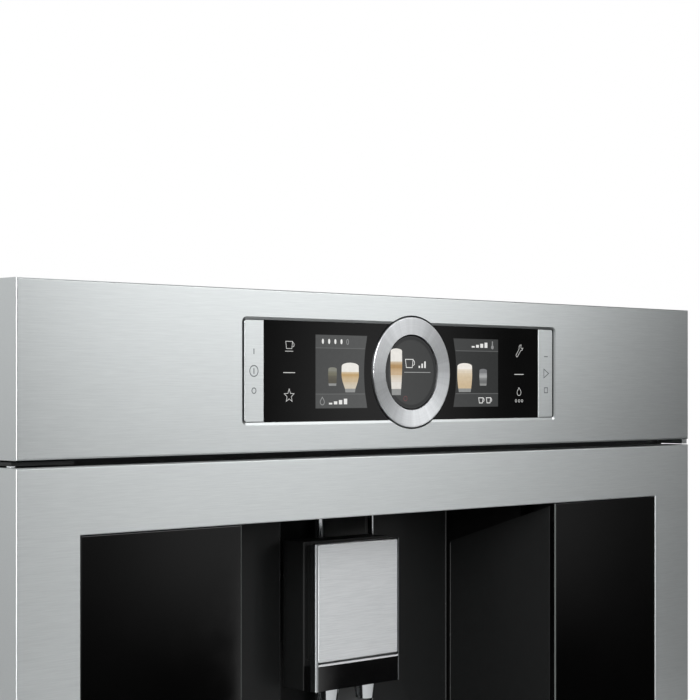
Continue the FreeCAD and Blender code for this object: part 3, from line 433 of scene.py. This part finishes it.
# Glasses of drink on the screens, in mm about the ring's centre.
# Their shape is in shares of the glass, and layers are (share of the height, colour) from the bottom up.
glassShape = {"foot": 0.14, "footTaper": 0.92, "footTone": "#8B8C8B", "bulgeEnd": 1.5, "taper": 0.06,
              "taperFrom": 0.6, "bands": 6, "blendFrom": 0.5, "dome": 0.3, "domeSteps": 16}
drinks = {
    "espresso": {"x": -69.0, "low": -8.6, "high": 1.6, "half": 3.6, "bulge": 0.08, "layers": [
        (0.55, "#4F4B40"), (0.3, "#6A6757"), (0.15, "#7E7E74")]},
    "cappuccino": {"x": -54.0, "low": -12.6, "high": 3.4, "half": 7.4, "bulge": 0.4, "layers": [
        (0.3, "#C9BFAC"), (0.25, "#C3AE8C"), (0.2, "#B99B6C"), (0.25, "#E6E3DD")]},
    "milkCoffee": {"x": 50.2, "low": -12.6, "high": 4.2, "half": 7.2, "bulge": 0.14, "layers": [
        (0.35, "#C9B391"), (0.35, "#CDBA9C"), (0.18, "#D8CBB6"), (0.12, "#ECE7DF")]},
    "hotWater": {"x": 68.2, "low": -8.4, "high": 1.6, "half": 3.7, "bulge": 0.08, "layers": [
        (0.45, "#6C6D6D"), (0.35, "#A4A5A5"), (0.2, "#77787A")]},
    "tallLayers": {"x": -13.6, "low": -14.4, "high": 13.4, "half": 5.2, "bulge": 0.18, "layers": [
        (0.36, "#DAD6CF"), (0.18, "#C3A987"), (0.18, "#A98759"), (0.28, "#E4E1DB")]}}


def drink(plan):
    # a glass with a thick foot, layers that run into each other and a domed top
    shape, layers, bands = glassShape, plan["layers"], glassShape["bands"]
    x, z0, z1 = plan["x"], plan["low"], plan["high"]
    foot = (z1 - z0) * shape["foot"]
    base, body = z0 + foot, z1 - z0 - foot

    def wide(t):
        bulge = plan["bulge"] * (1 - math.sin(math.pi / 2 * min(1.0, t * shape["bulgeEnd"])))
        return plan["half"] * (1 - bulge - shape["taper"] * max(0.0, t - shape["taperFrom"]))

    def band(lowHalf, highHalf, low, high):
        return [(x - lowHalf, low), (x + lowHalf, low), (x + highHalf, high), (x - highHalf, high)]

    cells = [(band(wide(0) * shape["footTaper"], wide(0), z0, base), shape["footTone"])]
    done = 0.0
    for (share, color), nextLayer in zip(layers, layers[1:] + layers[-1:]):
        for i in range(bands):
            a, b = done + share * i / bands, done + share * (i + 1) / bands
            blend = max(0.0, (i + 1) / bands - shape["blendFrom"])
            outline = band(wide(a), wide(b), base + body * a, base + body * b)
            cells.append((outline, mixed(color, nextLayer[1], blend)))
        done += share
    halfRound = arc(x, z1, wide(1), 0, 180, shape["domeSteps"])
    dome = [(px, z1 + (pz - z1) * shape["dome"]) for px, pz in halfRound]
    return cells + [(dome, layers[-1][1])]


def risingBars(plan):
    # a row of bars, each a step higher than the one before
    lefts = [plan["x"] + i * plan["pitch"] for i in range(plan["count"])]
    return [rect(left, left + plan["width"], plan["z"], plan["z"] + plan["low"] + i * plan["step"])
            for i, left in enumerate(lefts)]


def cupSign(plan, x, z, scale=1.0):
    # a cup with its handle on the right, in drawn lines
    top, bottom = plan["halves"]
    bowl = [(-top, plan["high"]), (-bottom, plan["low"]), (bottom, plan["low"]), (top, plan["high"])]
    handle = arc(*plan["handle"], plan["sweep"], -plan["sweep"], plan["steps"])
    bowlStroke, handleStroke = plan["strokes"]
    drawn = line(shifted(bowl, x, z, scale), bowlStroke, True)
    return drawn + line(shifted(handle, x, z, scale), handleStroke)


# Side screens: a grey field with a lighter bar at the top and the bottom, in mm about the ring's centre.
# The field and the bars have one tone on the left and one on the right.
screenPlan = {"inner": 39.35, "outer": 83.05, "half": 22.25, "dish": 2.7, "barTop": 14.3, "barBottom": -13.6,
              "steps": 20, "film": 0.04, "field": ("#3E3F3F", "#2C2D2D"), "bar": ("#474848", "#3A3B3B"),
              "rule": "#5C5D5D", "ruleHalf": 0.25, "ruleInset": 2.0, "ink": "#E4E4E2", "faint": "#8C8D8D"}


def screen(side, pictures):
    plan = screenPlan
    end = "Left" if side < 0 else "Right"
    low, high, steps = plan["barBottom"], plan["barTop"], plan["steps"]
    field, bar = (plan[key][side > 0] for key in ("field", "bar"))
    edges = [low + (high - low) * i / steps for i in range(steps + 1)]
    bands = [(-plan["half"], low, bar), (high, plan["half"], bar)]
    bands += [(a, b, field) for a, b in zip(edges, edges[1:])]
    sweep = (plan["half"] ** 2 + plan["dish"] ** 2) / (2 * plan["dish"])  # radius of the dished inner edge
    cells = []
    for z0, z1, color in bands:
        near = [plan["inner"] + (plan["dish"] - sweep + math.sqrt(sweep ** 2 - z * z)) for z in (z0, z1)]
        outline = [(near[0], z0), (plan["outer"], z0), (plan["outer"], z1), (near[1], z1)]
        cells.append(([(side * x, z) for x, z in outline], color))
    face, film = faceOf["panel_glass"], plan["film"]
    plate("screenField" + end, cells, face, film, screenLight, "machine")
    ends = sorted((side * (plan["inner"] + plan["ruleInset"]), side * plan["outer"]))
    rules = [(rect(*ends, z - plan["ruleHalf"], z + plan["ruleHalf"]), plan["rule"]) for z in (high, low)]
    plate("screenPictures" + end, rules + pictures, face - film, film, screenLight, "machine")


ink, faint = screenPlan["ink"], screenPlan["faint"]
roundCorners = {"dot": 24, "bean": 20, "screen": 96}
sideBars = {"pitch": 4.2, "width": 2.8, "low": 1.0, "step": 0.8, "count": 4}
dropShape = {"tip": (0, 2.9), "radius": 1.75, "start": 32, "end": -212, "steps": 16}
drop = [dropShape["tip"]]
drop += arc(0, 0, dropShape["radius"], dropShape["start"], dropShape["end"], dropShape["steps"])

# Left screen: a row of beans with the last one open, two drinks, a drop and level bars.
leftScreen = {"beanHalf": (0.8625, 1.55), "beanX": -77.0, "beanZ": 18.3, "beanPitch": 5.2, "beans": 5,
              "beanStroke": 0.45, "drop": (-77.5, -18.4), "dropStroke": 0.5,
              "bars": {**sideBars, "x": -72.0, "z": -19.9}}
plan = leftScreen
halfX, halfZ = plan["beanHalf"]
bean = [(halfX * x, halfZ * z) for x, z in circle(0, 0, 1, roundCorners["bean"])]
beans = [shifted(bean, plan["beanX"] + i * plan["beanPitch"], plan["beanZ"]) for i in range(plan["beans"])]
pictures = drink(drinks["espresso"]) + drink(drinks["cappuccino"])
pictures += colored(beans[:-1], ink)
pictures += colored(line(beans[-1], plan["beanStroke"], True), faint)
pictures += colored(line(shifted(drop, *plan["drop"]), plan["dropStroke"], True), faint)
pictures += colored(risingBars(plan["bars"]), ink)
screen(-1, pictures)

# Right screen: level bars and a thermometer, two drinks and two cups.
rightScreen = {"bars": {**sideBars, "x": 57.0, "z": 16.6}, "stem": [(77.4, 21.0), (77.4, 17.9)],
               "stemWidth": 1.0, "bulb": (77.4, 17.0, 1.3), "cupX": (66.0, 73.5), "cupZ": -18.1,
               "cup": {"halves": (2.2, 1.5), "high": 1.7, "low": -1.7, "handle": (2.1, 0.3, 1.1), "sweep": 80,
                       "steps": 8, "strokes": (0.5, 0.45)}}
plan = rightScreen
pictures = drink(drinks["milkCoffee"]) + drink(drinks["hotWater"])
pictures += colored(risingBars(plan["bars"]), ink)
pictures += colored(line(plan["stem"], plan["stemWidth"]), faint)
pictures += colored([circle(*plan["bulb"], roundCorners["dot"])], faint)
for cupX in plan["cupX"]:
    pictures += colored(cupSign(plan["cup"], cupX, plan["cupZ"]), ink)
screen(1, pictures)

# Round screen in the ring: a tall layered drink, a cup sign, level bars, a rule and a small ring.
roundScreen = {"rim": (22.6, "#1A1B1C"), "field": (20.6, "#303131"), "film": 0.03, "pictureFilm": 0.04,
               "rule": (-6.5, 17.5, -0.2, 0.2), "ruleTone": "#9FA0A0",
               "bars": {"x": 6.6, "z": 2.8, "pitch": 2.6, "width": 1.4, "low": 1.4, "step": 1.4, "count": 3},
               "cupX": -1.9, "cupZ": 5.6,
               "cup": {"halves": (3.5, 2.7), "high": 2.6, "low": -2.6, "handle": (3.3, 0.4, 1.6), "sweep": 85,
                       "steps": 10, "strokes": (0.45, 0.45)},
               "smallRing": (-5.4, -16.6, 1.5), "smallRingStroke": 0.4, "smallRingTone": "#6A3A3C"}
plan = roundScreen
pictures = drink(drinks["tallLayers"])
pictures += colored([rect(*plan["rule"])], plan["ruleTone"])
pictures += colored(cupSign(plan["cup"], plan["cupX"], plan["cupZ"]), ink)
pictures += colored(risingBars(plan["bars"]), ink)
smallRing = circle(*plan["smallRing"], roundCorners["dot"])
pictures += colored(line(smallRing, plan["smallRingStroke"], True), plan["smallRingTone"])
face, film = faceOf["centre_display"], plan["film"]
for name, key, depth in (("roundScreenField", "rim", face), ("roundScreenLight", "field", face - film)):
    radius, tone = plan[key]
    cells = [(circle(0, 0, radius, roundCorners["screen"]), tone)]
    plate(name, cells, depth, film, screenLight, "machine")
plate("roundScreenPictures", pictures, face - 2 * film, plan["pictureFilm"], screenLight,
      "machine")

# Touch signs lit on the glass: a cup over a star on the left, a wrench over a drop on the right,
# and a dash between the two of each side.
touchSigns = {"x": 104.5, "highZ": 15.2, "dashZ": -0.8, "lowZ": -14.6, "dash": (4.7, 0.22), "stroke": 0.32,
              "film": 0.04, "tone": "#D4D4D2", "cupScale": 0.74, "saucer": [(-4.4, -4.4), (4.4, -4.4)],
              "cup": {"halves": (3.7, 2.9), "high": 3.5, "low": -2.3, "handle": (3.5, 0.9, 1.9), "sweep": 85,
                      "steps": 10, "strokes": (0.32, 0.32)},
              "star": (4.1, 1.8), "starCorners": 10, "dropScale": 1.15, "dropRise": 1.6, "wrenchScale": 0.8,
              "wrench": [(-4.0, -4.0), (-3.4, -5.2), (-2.2, -5.2), (2.2, 0.2), (4.0, 0.4), (4.9, 2.2),
                         (3.1, 1.9), (2.2, 3.0), (2.9, 4.9), (1.0, 4.6), (0.0, 3.2), (0.2, 1.6)],
              "dot": 0.85, "dotPitch": 3.1, "dotDrop": 4.0, "dotStroke": 0.3}
plan = touchSigns
signX, stroke = plan["x"], plan["stroke"]
marks = [patch(x, plan["dashZ"], *plan["dash"]) for x in (-signX, signX)]
marks += cupSign(plan["cup"], -signX, plan["highZ"], plan["cupScale"])
marks += line(shifted(plan["saucer"], -signX, plan["highZ"], plan["cupScale"]), stroke)
star = []
for i in range(plan["starCorners"]):
    turn = 2 * math.pi * i / plan["starCorners"]
    star.append((plan["star"][i % 2] * math.sin(turn), plan["star"][i % 2] * math.cos(turn)))
marks += line(shifted(star, -signX, plan["lowZ"]), stroke, True)
marks += line(shifted(plan["wrench"], signX, plan["highZ"], plan["wrenchScale"]), stroke, True)
marks += line(shifted(drop, signX, plan["lowZ"] + plan["dropRise"], plan["dropScale"]), stroke, True)
for i in (-1, 0, 1):
    dotX, dotZ = signX + i * plan["dotPitch"], plan["lowZ"] - plan["dotDrop"]
    marks += line(circle(dotX, dotZ, plan["dot"], roundCorners["dot"]), plan["dotStroke"], True)
plate("touchSigns", colored(marks, plan["tone"]), faceOf["panel_glass"], plan["film"], screenLight,
      "machine")

# Signs on the two push buttons: a ringed bar between a bar and a ring, an arrow between a dash and a square.
# Bars, dash and square are given by their halves, rings by radius and corners.
buttonSigns = {"x": 132.4, "rise": 11.5, "stroke": 0.6, "film": 0.03, "powerTone": "#60666A",
               "ring": (3.2, 30), "ringBar": (0.35, 1.7), "highBar": (0.35, 1.6), "lowRing": (1.6, 18),
               "startTone": "#8E9396", "arrow": [(-2.2, -3.0), (2.8, 0.0), (-2.2, 3.0)],
               "square": (1.7, 1.7), "dash": (2.0, 0.3)}
plan = buttonSigns
signX, rise, stroke = plan["x"], plan["rise"], plan["stroke"]
face, film = faceOf["power_button"], plan["film"]
marks = line(circle(-signX, 0, *plan["ring"]), stroke, True)
marks += [patch(-signX, 0, *plan["ringBar"]), patch(-signX, rise, *plan["highBar"])]
marks += line(circle(-signX, -rise, *plan["lowRing"]), stroke, True)
plate("powerSigns", colored(marks, plan["powerTone"]), face, film, printInk, "power_key")
marks = line(shifted(plan["arrow"], signX, 0), stroke, True)
marks += line(patch(signX, -rise, *plan["square"]), stroke, True)
marks += [patch(signX, rise, *plan["dash"])]
plate("startSigns", colored(marks, plan["startTone"]), face, film, printInk, "start_key")
print("screens and signs drawn")

# Quarter-round lips on the upright edges of the niche, its shaft and the two panes, facing the middle. In mm.
edgeLips = {"radius": 0.8, "proud": 0.12, "cheekGap": 2.6, "cheekFront": 2.0, "cheekDrop": 28.0,
            "shaftWall": 1.5}
lip = {key: value / 1000 for key, value in edgeLips.items()}  # metres
lipSteps = 6


def lips(name, spots, look, body):
    # spots: (x, y, low z, high z) in metres for the right side, each repeated on the left
    r, proud = lip["radius"], lip["proud"]
    points, faces = [], []
    for side in (1, -1):
        for x, y, low, high in spots:
            middle = (side * (x + r - proud), y + r - proud)
            start = 180 if side > 0 else 270
            outline = [middle] + arc(middle[0], middle[1], r, start, start + 90, lipSteps)
            first, count = len(points), len(outline)
            for z in (low, high):
                points += [(px, py, z) for px, py in outline]
            bottom = [first + i for i in range(count)]
            top = [i + count for i in bottom]
            faces += [bottom[::-1], top]
            for i in range(count):
                j = (i + 1) % count
                faces.append([bottom[i], bottom[j], top[j], top[i]])
    mesh = bpy.data.meshes.new(name)
    mesh.from_pydata(points, [], faces)
    mesh.materials.append(look)
    piece = bpy.data.objects.new(name, mesh)
    bpy.context.scene.collection.objects.link(piece)
    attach(piece, body)


panelLow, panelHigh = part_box("niche_back_panels")
cheekLow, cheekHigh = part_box("niche_cheeks")
lips("shaftEdgeLips", [
    (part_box("shaft_liner")[1][0] - lip["shaftWall"], panelLow[1], panelLow[2], panelHigh[2]),
], satinSteel, "machine")
lips("nicheEdgeLips", [
    (panelHigh[0] - lip["radius"], panelLow[1] - lip["radius"] / 2, panelLow[2], panelHigh[2]),
    (panelHigh[0] + lip["cheekGap"], panelLow[1] - lip["cheekFront"],
     cheekLow[2], cheekHigh[2] - lip["cheekDrop"]),
], lipPaintedHighlight, "machine")
paneLow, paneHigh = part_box("right_door_glass")
lips("paneEdges", [(paneLow[0], paneLow[1], paneLow[2], paneHigh[2])], groundGlass, "door")
print("edge lips set")

# Pan-head screws of the rear cover: one tree puts a head with a cross recess and its shank on each point.
coverScrew = {"headRadius": 3.5, "topRadius": 2.6, "headHeight": 1.6, "recess": 3.4, "recessWidth": 0.9,
              "shankRadius": 1.6, "shankLength": 6.0}
screwSides = {"head": 28, "shank": 16}
tree = bpy.data.node_groups.new("screwsOnPoints", "GeometryNodeTree")
tree.interface.new_socket("Geometry", in_out="INPUT", socket_type="NodeSocketGeometry")
for key in coverScrew:
    tree.interface.new_socket(key, in_out="INPUT", socket_type="NodeSocketFloat")
tree.interface.new_socket("Geometry", in_out="OUTPUT", socket_type="NodeSocketGeometry")
given = addNode(tree, "NodeGroupInput").outputs
head = addNode(tree, "GeometryNodeMeshCone", None, {
    "Vertices": screwSides["head"], "Radius Bottom": given["headRadius"], "Radius Top": given["topRadius"],
    "Depth": given["headHeight"]})
bars = []
for turned in (False, True):
    wide = addNode(tree, "ShaderNodeCombineXYZ", None, {
        "X": given["recessWidth" if turned else "recess"], "Y": given["recess" if turned else "recessWidth"],
        "Z": given["headHeight"]})
    bar = addNode(tree, "GeometryNodeMeshCube", None, {"Size": wide.outputs["Vector"]})
    raised = addNode(tree, "ShaderNodeCombineXYZ", None, {"Z": given["headHeight"]})
    moved = addNode(tree, "GeometryNodeTransform", None, {
        "Geometry": bar.outputs["Mesh"], "Translation": raised.outputs["Vector"]})
    bars.append(moved.outputs["Geometry"])
cutOnce = addNode(tree, "GeometryNodeMeshBoolean", {"operation": "DIFFERENCE"}, {
    0: head.outputs["Mesh"], 1: bars[0]})
cutTwice = addNode(tree, "GeometryNodeMeshBoolean", {"operation": "DIFFERENCE"}, {
    0: cutOnce.outputs["Mesh"], 1: bars[1]})
shank = addNode(tree, "GeometryNodeMeshCylinder", None, {
    "Vertices": screwSides["shank"], "Radius": given["shankRadius"], "Depth": given["shankLength"]})
half = addNode(tree, "ShaderNodeMath", {"operation": "MULTIPLY"}, {0: given["shankLength"], 1: -0.5})
sunk = addNode(tree, "ShaderNodeCombineXYZ", None, {"Z": half.outputs["Value"]})
shankLow = addNode(tree, "GeometryNodeTransform", None, {
    "Geometry": shank.outputs["Mesh"], "Translation": sunk.outputs["Vector"]})
oneScrew = addNode(tree, "GeometryNodeJoinGeometry")
for part in (cutTwice.outputs["Mesh"], shankLow.outputs["Geometry"]):
    tree.links.new(part, oneScrew.inputs["Geometry"])
screwSet = addNode(tree, "GeometryNodeInstanceOnPoints", None, {
    "Points": given["Geometry"], "Instance": oneScrew.outputs["Geometry"], "Rotation": (-math.pi / 2, 0, 0)})
solid = addNode(tree, "GeometryNodeRealizeInstances", None, {"Geometry": screwSet.outputs["Instances"]})
plated = addNode(tree, "GeometryNodeSetMaterial", None, {
    "Geometry": solid.outputs["Geometry"], "Material": groundSteel})
addNode(tree, "NodeGroupOutput", None, {"Geometry": plated.outputs["Geometry"]})
sockets = {item.name: item.identifier for item in tree.interface.items_tree if item.in_out == "INPUT"}


def screwsOn(name, spots, body):
    points = bpy.data.meshes.new(name)
    points.from_pydata(spots, [], [])
    piece = bpy.data.objects.new(name, points)
    bpy.context.scene.collection.objects.link(piece)
    build = piece.modifiers.new("screws", "NODES")
    build.node_group = tree
    for key, value in coverScrew.items():
        build[sockets[key]] = value / 1000
    made = bpy.data.meshes.new_from_object(piece.evaluated_get(bpy.context.evaluated_depsgraph_get()))
    piece.modifiers.clear()
    piece.data = made
    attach(piece, body)
    return piece


def screwSpots(low, high, inset, rise, seatY):
    # three screws along each side of the box from low to high
    heights = [low[2] + rise, (low[2] + high[2]) / 2, high[2] - rise]
    return [(side * (high[0] - inset), seatY, z) for side in (-1, 1) for z in heights]


low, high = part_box("cover_screws")
edge = coverScrew["headRadius"] / 1000
spots = screwSpots(low, high, edge, edge, high[1] - coverScrew["headHeight"] / 1000)
rearScrews = screwsOn("coverScrews", spots, "machine")
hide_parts("cover_screws")

# The door's back cover is held by the same screws along both sides, clear of the hinge brackets and magnets.
doorScrew = {"inset": 10.0, "rise": 36.0}
low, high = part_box("door_back_cover")
spots = screwSpots(low, high, doorScrew["inset"] / 1000, doorScrew["rise"] / 1000, high[1])
screwsOn("doorCoverScrews", spots, "door")
print("screws set")

# Floor: a round sheet of matt paper that fades out towards its rim. In metres.
floorSheet = {"radius": 0.95, "fade": 0.55, "corners": 96}
rim = circle(0, 0, floorSheet["radius"], floorSheet["corners"])
mesh = bpy.data.meshes.new("studioFloor")
mesh.from_pydata([(x, y, 0.0) for x, y in rim], [], [list(range(floorSheet["corners"]))])
floor = bpy.data.objects.new("studioFloor", mesh)
bpy.context.scene.collection.objects.link(floor)
paper, tree, shader, where = newLook("matPaper", {"Specular IOR Level": 0.1})
grainTo(tree, shader, where, {
    "size": (40, 40, 40), "dark": "#E4E4E4", "light": "#EAEAEA", "rough": (0.8, 0.9)})
reach = addNode(tree, "ShaderNodeVectorMath", {"operation": "LENGTH"}, {0: where})
fade = addNode(tree, "ShaderNodeMapRange", {"interpolation_type": "SMOOTHSTEP"}, {
    "Value": reach.outputs["Value"], "From Min": floorSheet["fade"], "From Max": floorSheet["radius"],
    "To Min": 1.0, "To Max": 0.0})
tree.links.new(fade.outputs["Result"], shader.inputs["Alpha"])
mesh.materials.append(paper)

# World: white behind the object, and for what mirrors it a room that is darker on the right and low down.
world = bpy.data.worlds.new("studioRoom")
bpy.context.scene.world = world
world.use_nodes = True
tree = world.node_tree
tree.nodes.clear()
room = {"side": (0.96, -0.28, 0.0), "turn": (0.1, 1.0), "dark": 0.08, "fall": (-0.18, 0.0), "low": 0.08,
        "across": (0.708, 0.706, 0.0), "sky": (-0.2, 0.4), "soft": 0.45}
# Soft windows in its wall, each named for the piece of the front that mirrors it from the left.
windows = {"panel": {"middle": (0.0, -0.01), "half": (0.078, 0.15), "glow": 0.9},
           "chin": {"middle": (-0.05, -0.17), "half": (0.03, 0.1), "glow": 3.5},
           "leftPane": {"middle": (-0.085, -0.08), "half": (0.08, 0.08), "glow": 0.26},
           "rightPane": {"middle": (0.09, -0.07), "half": (0.06, 0.08), "glow": 0.14}}
facing = addNode(tree, "ShaderNodeTexCoord").outputs["Generated"]
turnedTo = addNode(tree, "ShaderNodeVectorMath", {"operation": "DOT_PRODUCT"}, {0: facing, 1: room["side"]})
height = addNode(tree, "ShaderNodeSeparateXYZ", None, {"Vector": facing})
wall = addNode(tree, "ShaderNodeMapRange", {"interpolation_type": "SMOOTHSTEP"}, {
    "Value": turnedTo.outputs["Value"], "From Min": room["turn"][0], "From Max": room["turn"][1],
    "To Min": 1.0, "To Max": room["dark"]})
fall = addNode(tree, "ShaderNodeMapRange", {"interpolation_type": "SMOOTHSTEP"}, {
    "Value": height.outputs["Z"], "From Min": room["fall"][0], "From Max": room["fall"][1],
    "To Min": room["low"], "To Max": 1.0})
plain = addNode(tree, "ShaderNodeMath", {"operation": "MULTIPLY"}, {
    0: wall.outputs["Result"], 1: fall.outputs["Result"]})
aside = addNode(tree, "ShaderNodeVectorMath", {"operation": "DOT_PRODUCT"}, {0: facing, 1: room["across"]})
seen = plain.outputs["Value"]
axes = (aside.outputs["Value"], height.outputs["Z"])
for window in windows.values():
    pane = window["glow"]
    for along, middle, half in zip(axes, window["middle"], window["half"]):
        offset = addNode(tree, "ShaderNodeMath", {"operation": "SUBTRACT"}, {0: along, 1: middle})
        away = addNode(tree, "ShaderNodeMath", {"operation": "ABSOLUTE"}, {0: offset.outputs["Value"]})
        edge = addNode(tree, "ShaderNodeMapRange", {"interpolation_type": "SMOOTHSTEP"}, {
            "Value": away.outputs["Value"], "From Min": 0.0, "From Max": half, "To Min": 1.0, "To Max": 0.0})
        pane = addNode(tree, "ShaderNodeMath", {"operation": "MULTIPLY"}, {
            0: edge.outputs["Result"], 1: pane}).outputs["Value"]
    seen = addNode(tree, "ShaderNodeMath", {"operation": "ADD"}, {0: seen, 1: pane}).outputs["Value"]
ray = addNode(tree, "ShaderNodeLightPath")
through = addNode(tree, "ShaderNodeMath", {"operation": "MAXIMUM"}, {
    0: ray.outputs["Is Camera Ray"], 1: ray.outputs["Is Transmission Ray"]})
overhead = addNode(tree, "ShaderNodeMapRange", {"interpolation_type": "SMOOTHSTEP"}, {
    "Value": height.outputs["Z"], "From Min": room["sky"][0], "From Max": room["sky"][1],
    "To Min": 0.0, "To Max": room["soft"]})
mirrored = addNode(tree, "ShaderNodeMix", None, {
    0: ray.outputs["Is Glossy Ray"], 2: overhead.outputs["Result"], 3: seen})
level = addNode(tree, "ShaderNodeMix", None, {0: through.outputs["Value"], 2: mirrored.outputs[0], 3: 1.0})
sky = addNode(tree, "ShaderNodeBackground", None, {"Color": (1, 1, 1, 1), "Strength": level.outputs[0]})
addNode(tree, "ShaderNodeOutputWorld", None, {"Surface": sky.outputs["Background"]})

# Lamps: places and sizes in metres, spread in degrees.
lamps = {"keyBox": {"spot": (1.86, -2.25, 1.3), "aim": (0.1, -0.19, 0.4), "size": (1.3, 1.5),
                    "watts": 3.55, "spread": 80},
         "fillBox": {"spot": (-1.6, -1.3, 1.0), "aim": (0.0, -0.19, 0.3), "size": (0.9, 1.0),
                     "watts": 9, "spread": 90},
         "topBox": {"spot": (0.0, 0.1, 2.0), "aim": (0.0, 0.0, 0.3), "size": (1.6, 1.2),
                    "watts": 4.5, "spread": 120}}


def softbox(name, spot, aim, size, watts, spread):
    lamp = bpy.data.lights.new(name, "AREA")
    lamp.shape = "RECTANGLE"
    lamp.size, lamp.size_y = size
    lamp.energy = watts
    lamp.spread = math.radians(spread)
    holder = bpy.data.objects.new(name, lamp)
    holder.location = spot
    holder.rotation_euler = (Vector(aim) - Vector(spot)).to_track_quat("-Z", "Y").to_euler()
    bpy.context.scene.collection.objects.link(holder)


for name, plan in lamps.items():
    softbox(name, **plan)

# Camera: level, on the left of the front. The frame is shifted instead of tilting the view.
photoView = {"spot": (-0.8355, -0.9936, 0.39705), "turn": -44.16, "lens": 94.11, "sensor": 36.0,
             "shift": (-0.0024, 0.0543), "near": 0.05}
eye = bpy.data.cameras.new("photoView")
eye.sensor_width, eye.lens = photoView["sensor"], photoView["lens"]
eye.shift_x, eye.shift_y = photoView["shift"]
eye.clip_start = photoView["near"]
camera = bpy.data.objects.new("photoView", eye)
camera.location = photoView["spot"]
camera.rotation_euler = (math.pi / 2, 0, math.radians(photoView["turn"]))
bpy.context.scene.collection.objects.link(camera)
bpy.context.scene.camera = camera
bpy.context.scene.view_settings.view_transform = "Standard"
print("floor, room, lamps and camera set")
